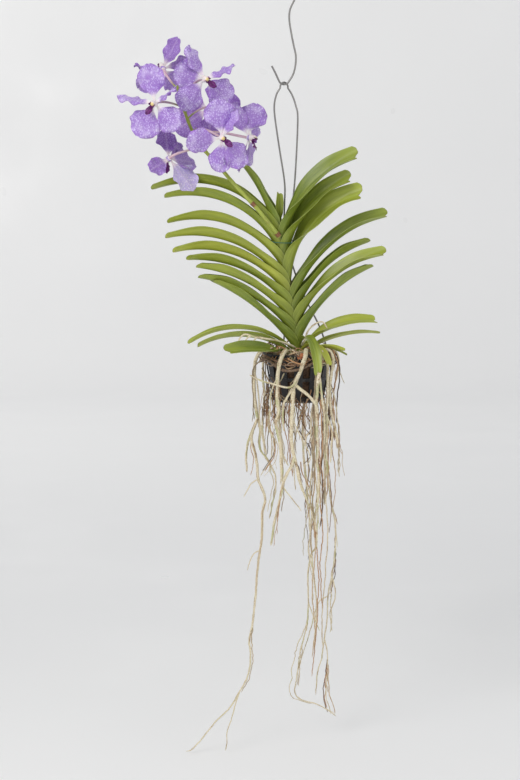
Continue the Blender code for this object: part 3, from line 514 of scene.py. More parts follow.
def keel_line(start, direction, rise_foot, rise_tip, bend, length):
    """The keel: place, way along and side at a length, which runs on down the stem below 0."""
    side = Vector((-math.sin(direction), math.cos(direction), 0))
    spot = Vector(start)
    line = []
    for index in range(KEEL_STEPS + 1):
        rise = math.radians(rise_tip + (rise_foot - rise_tip) * (1 - index / KEEL_STEPS) ** bend)
        along = Vector((math.cos(rise) * math.cos(direction), math.cos(rise) * math.sin(direction),
                        math.sin(rise)))
        line.append((spot.copy(), along))
        spot = spot + along * length / KEEL_STEPS

    def at(s):
        if s < 0:
            along = (line[0][1] + Vector((TAIL_LEAN, 0, 1.0)) * min(-s / TAIL_SETTLE, 2)).normalized()
            return line[0][0] + along * s, along, side
        step = min(s / length * KEEL_STEPS, KEEL_STEPS - 0.001)
        low = int(step)
        return (line[low][0].lerp(line[low + 1][0], step - low),
                line[low][1].lerp(line[low + 1][1], step - low).normalized(), side)

    return at


LEAF_ROWS, LEAF_COLUMNS, FOLD_STEPS = 58, 17, 8
KEEL_THICKNESS, HEM_THICKNESS, HEM_TURN = 1.1, 0.5, 14
BITE_START = 0.88


def lay_leaf(body, at, length, section, twist, seed, tail):
    """Loft a folded blade with a bitten tip along its keel."""
    half = LEAF_COLUMNS // 2
    top, bottom, lay = [], [], []
    notch = min(NOTCH_SHARE * length, NOTCH_MOST)
    lobe = 1 if rough(seed, 0.3, 1) > 0 else -1
    for row in range(LEAF_ROWS):
        s = mix(-tail, length, row / (LEAF_ROWS - 1))
        t = max(s / length, 0)
        upper, lower, marks = [], [], []
        for column in range(LEAF_COLUMNS):
            u = (column - half) / half
            back = notch * (math.exp(-(u * 5) ** 2) + 1.1 * abs(u) ** 6 + (0.8 if u * lobe > 0.1 else 0))
            back += 0.5 * rough(u * 6, 2.0, seed)
            su = s - back * ease((t - BITE_START) / (1 - BITE_START))
            floor, wall, rise = section(su)
            spot, along, side = at(su)
            up = along.cross(side)
            turn = math.radians(twist) * ease((max(su, 0) / length - TWIST_FOOT) / TWIST_SPAN)
            across = side * math.cos(turn) + up * math.sin(turn)
            lift = up * math.cos(turn) - side * math.sin(turn)
            breadth = floor + wall
            y = z = angle = 0.0
            for step in range(FOLD_STEPS):
                d = breadth * abs(u) * (step + 0.5) / FOLD_STEPS
                angle = math.radians(rise) * ease(d / (1.7 * floor + 0.4))
                angle -= math.radians(HEM_TURN) * ease((d / breadth - 0.7) / 0.3) * ease(s / 60)
                y += math.cos(angle) * breadth * abs(u) / FOLD_STEPS
                z += math.sin(angle) * breadth * abs(u) / FOLD_STEPS
            hand = 1 if u > 0 else -1
            wave = 0.7 * u * u * rough(s / 22, u * 0.7, seed + 3) * ease(s / 50)
            normal = lift * math.cos(angle) - across * hand * math.sin(angle)
            thick = mix(KEEL_THICKNESS, HEM_THICKNESS, abs(u) ** 0.7)
            point = spot + across * hand * y + lift * z + normal * wave
            upper.append(point)
            lower.append(point - normal * thick)
            marks.append((u * breadth, s, t))
        top.append(upper)
        bottom.append(lower)
        lay.append(marks)
    edge = [abs(column - half) / half for column in range(LEAF_COLUMNS)]
    body.add_blade(top, bottom, lay, edge, seed)


print("a leaf has", LEAF_ROWS, "rows of", LEAF_COLUMNS, "points on each face")

# %% Make the long leaves
def long_leaf(name, values, seed):
    """A strap leaf that clasps the stem."""
    side, height, turn, rise_foot, rise_tip, bend, length, width, fold, twist = values
    direction = math.radians(180 + turn if side == LEFT else -turn)
    rise = math.radians(rise_foot)
    inward = Vector((-math.sin(rise) * math.cos(direction), -math.sin(rise) * math.sin(direction),
                     math.cos(rise)))
    reach = STEM_RADIUS / max(math.cos(math.radians(90 + STEM_TILT) - rise), 0.5)
    start = Vector((stem_x(height), 0, height)) - inward * (reach + CLEARANCE + LEAF_THICKNESS)
    half = width / 2

    def section(s):
        t = max(s, 0) / length
        foot = SHEATH_HALF_GAP + SHEATH_FLARE * min(max(s, -TAIL), SHEATH_LENGTH)
        end = ease((t - END_START) / (1 - END_START))
        floor = mix(foot, KEEL_FLOOR, ease((s - SHEATH_LENGTH) / FLOOR_NARROWS))
        floor = mix(floor, END_FLOOR * half, end)
        breadth = half * mix(1.0, END_WIDTH, end)
        wall = mix(SHEATH_WALL, max(breadth - floor, 3.0), ease((s - WALL_START) / WALL_SPAN))
        wall *= mix(0.35, 1.0, ease((s + TAIL) / (TAIL + 14)))
        opened = mix(fold, TIP_RISE, ease((t - TIP_OPENS) / (1 - TIP_OPENS)))
        return floor, wall, mix(SHEATH_RISE, opened, ease((s - OPEN_START) / OPEN_SPAN))

    body = Body()
    at = keel_line(start, direction, rise_foot, rise_tip, bend, length)
    lay_leaf(body, at, length, section, twist, seed, TAIL)
    finish_piece(name + "_blade", body, leaf_wax, (name,), LEAF_LOOKS.get(name, PLAIN_LOOK))


for number, (name, values) in enumerate(LONG_LEAVES.items()):
    long_leaf(name, values, number * 1.7)
print("long leaves made:", len(pieces_made))

# %% [markdown]
# ## Short leaves
#
# The new leaf in the heart and the old ones at the foot have no clasping part. They leave the stem with
# a narrow claw, so their section only has to widen from the claw to the blade.

# %% Make the short leaves
CLAW_WIDTH, CLAW_RISE, END_NARROWS = 0.3, 60, 0.75
FLOOR_SHARES = (0.35, 0.5)


def short_leaf(name, values, seed):
    """A leaf that leaves the stem with a narrow claw."""
    height, turn, rise_foot, rise_tip, bend, length, width, fold, twist = values
    direction = math.radians(turn)
    out = Vector((math.cos(direction), math.sin(direction), 0))
    away = 0 if height > STEM_TOP - 12 else stem_radius(height) + 3 * CLEARANCE
    start = Vector((stem_x(height), 0, height)) + out * away

    def section(s):
        t = max(s, 0) / length
        end = ease((t - END_START) / (1 - END_START))
        half = width / 2 * mix(CLAW_WIDTH, 1.0, ease(t / 0.4)) * mix(1.0, END_NARROWS, end)
        floor = half * mix(*FLOOR_SHARES, t)
        return floor, half - floor, mix(CLAW_RISE, fold, ease(t / 0.5))

    body = Body()
    at = keel_line(start, direction, rise_foot, rise_tip, bend, length)
    lay_leaf(body, at, length, section, twist, seed, 0)
    finish_piece(name + "_blade", body, leaf_wax, (name,), LEAF_LOOKS.get(name, PLAIN_LOOK))


for number, (name, values) in enumerate(SHORT_LEAVES.items()):
    short_leaf(name, values, 40 + number * 1.7)
print("leaves made:", len(pieces_made))

# %% [markdown]
# ## The petals' finish
#
# The blooms are lilac with a net of deeper lines between paler cells, whitish at the claw, and their
# backs are a darker violet. The cells are a Voronoi pattern: its distance to the edge of each cell gives
# the net. It is laid out in millimetres of the petal itself and stretched a little along it, as real
# cells between veins are.

# %% Lilac net
def petal_finish():
    """Lilac with a net of deeper lines, a white claw and a darker back."""
    finish, tree, shader = new_finish("petal_lilac_net")
    across, along, share = split(tree, mark(tree, "lay", "Vector"))
    seed = mark(tree, "seed")
    edge = mark(tree, "edge")
    side = mark(tree, "side")
    fan = sum_of(tree, "DIVIDE", across, plus(tree, times(tree, share, 0.8), 0.45))
    sheet = join(tree, fan, times(tree, along, 0.62), times(tree, seed, 9.0))
    bend = add(tree, "TexNoise", {"Vector": sheet, "Scale": 0.35, "Detail": 2.0}).outputs["Color"]
    bent = add(tree, "VectorMath", {0: sheet, 1: bend}, operation="ADD").outputs["Vector"]
    cells = add(tree, "TexVoronoi", {"Vector": bent, "Scale": 0.4, "Randomness": 0.85},
                feature="DISTANCE_TO_EDGE").outputs["Distance"]
    cell = fade(tree, cells, 0.05, 0.3)
    broad = clouds(tree, sheet, 0.1, 3, 0.5)
    deep = blend(tree, broad, (0.3, 0.16, 0.55), (0.43, 0.27, 0.69))
    pale = blend(tree, broad, (0.56, 0.44, 0.83), (0.77, 0.67, 0.94))
    front = blend(tree, cell, deep, pale)
    veins = clouds(tree, join(tree, fan, times(tree, along, 0.05), seed), 0.9, 3, 0.6)
    front = blend(tree, times(tree, fade(tree, veins, 0.45, 0.62), 0.3), front, (0.34, 0.15, 0.6))
    # Painted shade and painted light: large random patches darken and pale the petal's face.
    shade_and_light_patches = clouds(tree, join(tree, across, along, seed), 0.055, 2, 0.5)
    front = blend(tree, times(tree, fade(tree, shade_and_light_patches, 0.5, 0.66), 0.4), front, (0.3, 0.14, 0.55))
    front = blend(tree, times(tree, fade(tree, shade_and_light_patches, 0.5, 0.34), 0.35), front, (0.8, 0.72, 0.95))
    rim = times(tree, fade(tree, edge, 0.88, 1.0), 0.6)
    front = blend(tree, rim, front, (0.26, 0.09, 0.44))
    claw = fade(tree, rest_of(tree, share), 0.7, 0.9)
    front = blend(tree, claw, front, (0.92, 0.85, 0.88))
    back = blend(tree, broad, (0.17, 0.05, 0.36), (0.36, 0.19, 0.6))
    back = blend(tree, times(tree, cell, 0.5), back, (0.56, 0.42, 0.8))
    pale = times(tree, mark(tree, "tone"), 0.8)
    back = blend(tree, pale, back, blend(tree, cell, (0.66, 0.58, 0.9), (0.9, 0.86, 0.98)))
    rib = fade(tree, rest_of(tree, edge), 0.86, 1.0)
    back = blend(tree, times(tree, rib, 0.3), back, (0.7, 0.56, 0.78))
    back = blend(tree, claw, back, (0.88, 0.78, 0.8))
    colour = blend(tree, side, back, front)
    dress(tree, shader, colour, broad, 0.2, 0.4)
    shader.inputs["Sheen Weight"].default_value = 0.25
    shader.inputs["Sheen Roughness"].default_value = 0.4
    sink_light(shader, 0.25, (0.003, 0.002, 0.004))
    relief(tree, shader, plus(tree, cell, veins), 0.3, 0.0003)
    return finish


petal_lilac = petal_finish()
print("petal finish:", len(petal_lilac.node_tree.nodes), "nodes")

# %% [markdown]
# ## Blooms
#
# Each bloom has five blades round a small hub: three sepals and two petals, much alike, with a claw, a
# round end and a wavy rim. They are lofted like the leaves, with a half width that swells from the claw
# and closes like a circle. In the table a bloom has the place on the spike that its stalk leaves, its
# middle, the way its face looks and the roll of its lip, and each blade its turn round the middle, length,
# width, lean at the claw, lean at the tip and twist.

# %% The blooms' table
BLOOMS = {
    "bloom_1": (0.86, (-195, -46, 342), (-0.35, -0.9, -0.2), 35,
                ((-4, 51, 42, 8, -4, 0), (58, 42, 28, 20, 8, 80), (139, 44, 40, 6, 0, 0),
                 (212, 50, 46, 6, 2, 0), (283, 50, 26, 12, 2, -84))),
    "bloom_2": (0.92, (-128, -28, 375), (0.4, -0.88, -0.12), -50,
                ((-34, 50, 30, 10, 0, -34), (62, 42, 26, 20, 10, 84), (126, 46, 42, 4, -4, 0),
                 (222, 50, 40, 8, 0, 0), (284, 46, 40, 10, 2, 0))),
    "bloom_3": (0.72, (-105, -46, 296), (0.3, -0.93, -0.18), -50,
                ((-8, 50, 46, 8, -2, 0), (22, 44, 24, 28, 14, 80), (136, 50, 38, 6, -10, 20),
                 (180, 44, 34, 8, 0, 0), (262, 48, 38, 8, 0, 14))),
    "bloom_4": (0.68, (-69, 29, 297), (0.94, -0.25, -0.15), 0,
                ((-8, 46, 40, 8, 4, 72), (74, 38, 30, 10, 4, 0), (143, 42, 34, 10, 0, 0),
                 (200, 48, 34, 2, -6, 24), (330, 52, 26, -28, -34, 60))),
    "bloom_5": (0.62, (-178, -14, 268), (-0.62, 0.6, -0.48), 0,
                ((342, 44, 30, 4, 0, 20), (113, 42, 27, 6, 0, 0), (210, 52, 50, 6, 0, 0),
                 (264, 46, 36, 6, 0, 10), (296, 38, 30, 10, 0, -30))),
    "bloom_6": (0.98, (-188, 34, 392), (-0.3, 0.75, 0.55), 0,
                ((343, 47, 26, 6, 0, 62), (88, 38, 26, 12, 4, 50), (140, 42, 34, 4, 0, 0),
                 (228, 44, 36, 4, 0, 0), (288, 44, 34, 12, 4, -20))),
    "bloom_7": (0.8, (-124, 42, 337), (0.25, 0.93, -0.25), 0,
                ((340, 42, 34, 8, 0, 0), (66, 44, 36, 12, 4, 20), (122, 54, 48, 6, 0, 0),
                 (185, 44, 38, 6, 0, 0), (285, 42, 34, 12, 4, -20))),
}
CLAW, HUB_RADIUS, HUB_HALF = 1.7, 4.4, 2.4
PETAL_WIDEST, CLAW_SHARE, TIP_ROUND, LIP_DROOP = 0.55, 0.06, 0.97, 30
PETAL_ROWS, PETAL_COLUMNS = 34, 23
HUB_PLACES, HUB_RADII, HUB_INSET = (-1, -0.6, 0.2, 0.9), (2.4, 4.0, 4.2, 2.6), 1.6
# How the rim waves along a petal, how lumpy its face is, how deep its middle line and how bitten its end
RIPPLES, LUMPS, MIDLINE_DEPTH, BITE_DEPTH = 17, 0.9, 0.5, 1.6
# How pale the back of each blade of a bloom is, where it is not the usual violet
PALE_BACKS = {"bloom_5": (0.0, 0.1, 1.0, 0.25, 0.1), "bloom_6": (0.1, 0.0, 0.3, 0.2, 0.0)}
print("blooms:", len(BLOOMS), "blades:", sum(len(values[-1]) for values in BLOOMS.values()))

# %% Petal shape
def bloom_frame(face, roll):
    """The face, up and right directions of a bloom, as seen by someone who looks at its face."""
    face = Vector(face).normalized()
    up = (Vector((0, 0, 1)) - face * face.z).normalized()
    right = up.cross(face)
    turn = math.radians(roll)
    rolled = up * math.cos(turn) + right * math.sin(turn)
    return face, rolled, right * math.cos(turn) - up * math.sin(turn)


def petal_half(t, width):
    """Half the width of a petal at a share of its length: a claw that swells and closes round."""
    swell = CLAW + (width / 2 - CLAW) * ease((t - CLAW_SHARE) / (PETAL_WIDEST - CLAW_SHARE))
    if t <= PETAL_WIDEST:
        return swell
    return width / 2 * math.sqrt(1 - TIP_ROUND * ((t - PETAL_WIDEST) / (1 - PETAL_WIDEST)) ** 2)


def lay_petal(body, middle, frame_of, blade, seed, cup=0.14, wave=2.3, thick=0.6, rows=PETAL_ROWS,
              tone=0.0):
    """Loft one blade of a bloom."""
    turn, length, width, lean, lean_tip, twist = blade
    face, up, right = frame_of
    angle = math.radians(turn)
    way = up * math.cos(angle) + right * math.sin(angle)
    across = right * math.cos(angle) - up * math.sin(angle)
    spot = Vector(middle) + way * (HUB_RADIUS - HUB_INSET)
    half_columns = PETAL_COLUMNS // 2
    top, bottom, lay = [], [], []
    last = 0.0
    for row in range(rows):
        t = 1 - (1 - row / (rows - 1)) ** 1.25
        tilt = math.radians(mix(lean, lean_tip, t))
        along = way * math.cos(tilt) + face * math.sin(tilt)
        lift = face * math.cos(tilt) - way * math.sin(tilt)
        spot = spot + along * (t - last) * length
        last = t
        turned = math.radians(twist) * ease(t / 0.4)
        side = across * math.cos(turned) + lift * math.sin(turned)
        raised = lift * math.cos(turned) - across * math.sin(turned)
        half = petal_half(t, width)
        upper, lower, marks = [], [], []
        for column in range(PETAL_COLUMNS):
            u = (column - half_columns) / half_columns
            ripple = math.sin(t * RIPPLES + seed * 5 + (2.0 if u > 0 else 0.0)) + rough(t * 5, u * 1.5, seed)
            lift_by = -cup * u * u * half + wave * abs(u) ** 3 * ripple * ease((t - 0.15) / 0.3)
            lift_by += LUMPS * rough(t * 3 + u, u * 2 - t, seed + 5) * ease(t / 0.3)
            lift_by -= MIDLINE_DEPTH * math.exp(-(u * 6) ** 2) * ease(t / 0.2)
            ragged = 1 + 0.1 * rough(t * 8, u * 2, seed + 7) * u * u * ease((t - 0.2) / 0.3)
            bitten = along * BITE_DEPTH * rough(u * 5, 1.0, seed + 9) * ease((t - 0.8) / 0.2)
            point = spot + side * u * half * ragged + raised * lift_by + bitten
            upper.append(point + raised * thick / 2)
            lower.append(point - raised * thick / 2)
            marks.append((u * half, t * length, t))
        top.append(upper)
        bottom.append(lower)
        lay.append(marks)
    edge = [abs(column - half_columns) / half_columns for column in range(PETAL_COLUMNS)]
    body.add_blade(top, bottom, lay, edge, seed, tone)


print("a petal 40 mm wide is", round(2 * petal_half(0.3, 40), 1), "mm wide at a third of its length")

# %% [markdown]
# ## Lip and column
#
# In the middle of each bloom stands the white column with its yellow cap, and below it the lip, a deep
# violet tongue with two small lobes beside the column. The column is a short swelling tube and the lip
# three small petals with their own curves, because they have the same nature as the petals.

# %% Finishes of the lip and the column
def lip_finish():
    """Deep violet, with fine darker streaks and a waxy gloss."""
    finish, tree, shader = new_finish("lip_violet")
    across, along, share = split(tree, mark(tree, "lay", "Vector"))
    streaks = clouds(tree, join(tree, across, times(tree, along, 0.2), mark(tree, "seed")), 1.2)
    colour = blend(tree, fade(tree, streaks, 0.35, 0.65), (0.07, 0.004, 0.085), (0.2, 0.018, 0.22))
    colour = blend(tree, fade(tree, rest_of(tree, share), 0.82, 1.0), colour, (0.7, 0.5, 0.6))
    dress(tree, shader, colour, streaks, 0.2, 0.28)
    relief(tree, shader, streaks, 0.4, 0.0004)
    return finish


def column_finish():
    """Cream white with a yellow cap and a blush at the foot."""
    finish, tree, shader = new_finish("column_cream")
    across, along, share = split(tree, mark(tree, "lay", "Vector"))
    dots = clouds(tree, join(tree, across, along, mark(tree, "seed")), 0.8)
    colour = blend(tree, fade(tree, dots, 0.4, 0.7), (0.92, 0.87, 0.82), (0.86, 0.74, 0.76))
    colour = blend(tree, fade(tree, share, 0.66, 0.92), colour, (0.9, 0.72, 0.32))
    dress(tree, shader, colour, dots, 0.2, 0.3)
    sink_light(shader, 0.2, (0.003, 0.002, 0.002))
    return finish


lip_violet = lip_finish()
column_cream = column_finish()
print("lip and column finishes ready")

# %% [markdown]
# The rows of the lip and its lobes are those of a blade: turn, length, width, lean at the claw, lean at
# the tip and twist. The column's line is given as places in front of the bloom's middle and above it.

# %% Make the blooms
LIP_BLADE, LOBE_BLADE = (0, 17.5, 9, 0, -44, 0), (12, 7, 5, 0, -18, 0)
LIP_RIDGES, RIDGE_PLACES, RIDGE_RADII = (-1.4, 0, 1.4), (-1, 2, 5, 8), (0.6, 0.9, 0.8, 0.3)
COLUMN_LINE = ((0, 0), (2, 0.5), (4, 1), (6.4, 1.1), (8, 0.6), (8.8, 0.2))
COLUMN_RADII = (4.6, 4.0, 3.4, 3.5, 3.0, 1.8)


def bloom(name, values, seed):
    """A bloom: five petals with their hub, a lip and a column."""
    _, middle, face, roll, blades = values
    frame_of = bloom_frame(face, 0)
    front, up, right = bloom_frame(face, roll)
    middle = Vector(middle)
    petals = Body()
    tones = PALE_BACKS.get(name, (0.0,) * len(blades))
    for index, (blade, tone) in enumerate(zip(blades, tones)):
        lay_petal(petals, middle, frame_of, blade, seed + index * 0.37, tone=tone)
    hub = [middle + front * HUB_HALF * h for h in HUB_PLACES]
    petals.add_tube(hub, HUB_RADII, 14, seed)
    finish_piece(name + "_blades", petals, petal_lilac, (name + "_petals",))

    seat = middle + front * (HUB_HALF - 0.4)
    lip = Body()
    foot = seat + front * 2.6 - up * 1.8
    droop = math.radians(LIP_DROOP)
    forward = front * math.cos(droop) - up * math.sin(droop)
    tongue = (up * math.cos(droop) + front * math.sin(droop), forward, right)
    lay_petal(lip, foot - forward * 4, tongue, LIP_BLADE, seed, cup=0.45, wave=1.0, rows=18)
    for hand in (-1, 1):
        lobe = (right * -hand, front, up)
        lay_petal(lip, foot + right * hand * 2.2 - front * 2, lobe, LOBE_BLADE, seed + hand,
                  cup=0.3, wave=0.3, rows=14)
    for ridge in LIP_RIDGES:
        line = [foot + right * ridge + forward * d + tongue[0] * 0.8 for d in RIDGE_PLACES]
        lip.add_tube(line, RIDGE_RADII, 8, seed)
    finish_piece(name + "_tongue", lip, lip_violet, (name + "_lip",))

    column = Body()
    line = [seat + front * ahead + up * above for ahead, above in COLUMN_LINE]
    column.add_tube(line, COLUMN_RADII, 14, seed)
    finish_piece(name + "_column", column, column_cream)


for number, (name, values) in enumerate(BLOOMS.items()):
    bloom(name, values, 3.0 + number)
print("pieces so far:", len(pieces_made))

# %% [markdown]
# ## The spike and its stalks
#
# The flower spike is yellow-green and smooth and swells a little at each joint, and the stalks that
# carry the blooms turn cream and pink towards them and are streaked. A stalk leaves the spike on a Bezier
# curve that ends square to the bloom's back. Finish and shape both follow the share along each tube.

# %% The spike's finish
def spike_finish():
    """Yellow-green that turns to a pinkish cream along the stalks."""
    finish, tree, shader = new_finish("spike_green")
    across, along, share = split(tree, mark(tree, "lay", "Vector"))
    stalk = mark(tree, "side")
    seed = mark(tree, "seed")
    streaks = clouds(tree, join(tree, across, times(tree, along, 0.08), seed), 0.9)
    green = blend(tree, fade(tree, streaks, 0.3, 0.7), (0.24, 0.3, 0.04), (0.44, 0.5, 0.09))
    patches = clouds(tree, join(tree, across, along, seed), 0.12, 2)
    green = blend(tree, times(tree, fade(tree, patches, 0.5, 0.75), 0.5), green, (0.2, 0.16, 0.04))
    pink = blend(tree, fade(tree, streaks, 0.35, 0.65), (0.78, 0.6, 0.62), (0.56, 0.34, 0.46))
    pinker = times(tree, stalk, fade(tree, share, 0.1, 0.55))
    colour = blend(tree, pinker, green, pink)
    dress(tree, shader, colour, streaks, 0.2, 0.34)
    sink_light(shader, 0.1, (0.002, 0.002, 0.001))
    relief(tree, shader, streaks, 0.4, 0.0005)
    return finish


spike_green = spike_finish()
print("spike finish ready")

# %% Make the spike
SPIKE_ROUTE = ((-26, -12, 161), (-42, -17, 181), (-60, -19, 203), (-81, -17, 225), (-97, -13, 243),
               (-113, -9, 262), (-129, -5, 279), (-143, -1, 299), (-153, 2, 322), (-161, 4, 347),
               (-167, 5, 368))
SPIKE_RADII, JOINT_SWELL, JOINT_SPREAD = (3.2, 1.9), 0.5, 0.012
STALK_RADII, STALK_STEPS = (1.2, 1.9), 24


def spike_point(share):
    """The place on the spike at a share of its length, and the way it runs there."""
    route = through(SPIKE_ROUTE, 4)
    spot = share * (len(route) - 1)
    index = min(int(spot), len(route) - 2)
    before, after = route[index], route[index + 1]
    return before.lerp(after, spot - index), (after - before).normalized()


def flower_spike():
    """The spike and its bloom stalks in one piece."""
    body = Body()
    line, _ = resample(through(SPIKE_ROUTE), 2.5)
    joints = [values[0] for values in BLOOMS.values()]
    radii = []
    for index in range(len(line)):
        share = index / (len(line) - 1)
        swell = sum(JOINT_SWELL * math.exp(-((share - joint) / JOINT_SPREAD) ** 2) for joint in joints)
        radii.append(mix(*SPIKE_RADII, share) + swell)
    body.add_tube(line, radii, 14, 1.0, side=0.0)
    for number, (share, middle, face, _, _) in enumerate(BLOOMS.values()):
        face = Vector(face).normalized()
        start, along = spike_point(share)
        end = Vector(middle) - face * (HUB_HALF - 0.2)
        span = (end - start).length
        out = (end - start - along * (end - start).dot(along)).normalized()
        pull = (start, start + out * span * 0.3 + along * span * 0.15, end - face * span * 0.35, end)
        path = []
        for step in range(STALK_STEPS + 1):
            t = step / STALK_STEPS
            path.append(pull[0] * (1 - t) ** 3 + pull[1] * 3 * t * (1 - t) ** 2
                        + pull[2] * 3 * t * t * (1 - t) + pull[3] * t ** 3)
        girths = [mix(*STALK_RADII, ease(step / STALK_STEPS)) for step in range(STALK_STEPS + 1)]
        body.add_tube(path, girths, 12, 2.0 + number)
    finish_piece("spike_and_stalks", body, spike_green, ("flower_spike",))


flower_spike()
print("pieces so far:", len(pieces_made))

# %% [markdown]
# Low on the spike sit two dry brown bracts, small sheaths that once covered a bud. They are short flared
# tubes round the spike, because only their outside is ever seen.

# %% Make the bracts
def bract_finish():
    """Dry papery brown with darker fibres."""
    finish, tree, shader = new_finish("bract_brown")
    across, along, _ = split(tree, mark(tree, "lay", "Vector"))
    fibres = clouds(tree, join(tree, across, times(tree, along, 0.15), 3.0), 1.6, 4, 0.7)
    colour = blend(tree, fade(tree, fibres, 0.38, 0.64), (0.09, 0.035, 0.015), (0.36, 0.17, 0.07))
    dress(tree, shader, colour, fibres, 0.2, 0.6)
    relief(tree, shader, fibres, 0.6, 0.0006)
    return finish


# Where each bract starts along the spike and its length, in millimetres
BRACTS = ((1, 7), (53, 9))
BRACT_RADIUS, BRACT_TAPER, BRACT_FLARE = 3.5, 0.012, 0.5
bract_brown = bract_finish()
bracts = Body()
spike_line, _ = resample(through(SPIKE_ROUTE), 1.0)
for start, reach in BRACTS:
    radius = BRACT_RADIUS - BRACT_TAPER * start
    girths = [radius + BRACT_FLARE * ease(step / reach) for step in range(reach)]
    bracts.add_tube(spike_line[start:start + reach], girths, 16, start)
finish_piece("spike_bracts", bracts, bract_brown)
print("bracts:", pieces_made["spike_bracts"], "faces")

# %% [markdown]
# ## Roots
#
# The aerial roots take up water from the air: cords with a chalky skin, cream where dry, brown where it
# has worn off, and a little green. The thin old ones are rust red or dead brown. Each bunch leaves the
# crown, goes over the basket's rim and hangs down, wandering a little. A marked route gives each root its
# way, noise makes it wander and swell, and thin side roots follow the thick ones by a seeded rule.

# %% The roots' finish
def root_finish():
    """Chalky cream with bare brown patches and a green tinge, or rust and dead brown."""
    finish, tree, shader = new_finish("root_skin")
    _, along, _ = split(tree, mark(tree, "lay", "Vector"))
    seed = mark(tree, "seed")
    around = mark(tree, "edge")
    skin = join(tree, times(tree, around, 3.0), times(tree, along, 0.12), seed)
    patches = clouds(tree, skin, 0.5, 4, 0.6)
    fine = clouds(tree, join(tree, times(tree, around, 6.0), along, seed), 1.0, 4, 0.7)
    kind = add(tree, "TexWhiteNoise", {"W": seed}, noise_dimensions="1D").outputs["Value"]
    chalk = blend(tree, fade(tree, fine, 0.4, 0.62), (0.6, 0.5, 0.33), (0.84, 0.78, 0.6))
    bare = blend(tree, fade(tree, fine, 0.36, 0.66), (0.2, 0.12, 0.06), (0.52, 0.36, 0.2))
    skinned = blend(tree, times(tree, fade(tree, patches, 0.52, 0.62), 0.8), chalk, bare)
    green = times(tree, fade(tree, clouds(tree, skin, 0.32, 2), 0.5, 0.62), fade(tree, kind, 0.2, 0.7))
    skinned = blend(tree, times(tree, green, 0.7), skinned, (0.44, 0.47, 0.2))
    rust = blend(tree, fade(tree, fine, 0.38, 0.64), (0.3, 0.12, 0.045), (0.62, 0.36, 0.18))
    dead = blend(tree, fade(tree, fine, 0.4, 0.66), (0.05, 0.028, 0.018), (0.24, 0.15, 0.1))
    dry = blend(tree, fade(tree, kind, 0.45, 0.55), rust, dead)
    cream = blend(tree, fade(tree, mark(tree, "side"), 0.15, 0.85), skinned, dry)
    dress(tree, shader, cream, fine, 0.2, 0.62)
    relief(tree, shader, plus(tree, fine, patches), 0.6, 0.0006)
    return finish


root_skin = root_finish()
print("root finish:", len(root_skin.node_tree.nodes), "nodes")

# %% [markdown]
# The table has each bunch with the turn at which it leaves the crown and its strands: thickness at the
# start and at the end, and the route. A side root starts inside the strand that it leaves. Two single
# roots leave the stem among the leaves, and the left one has two broken stubs.

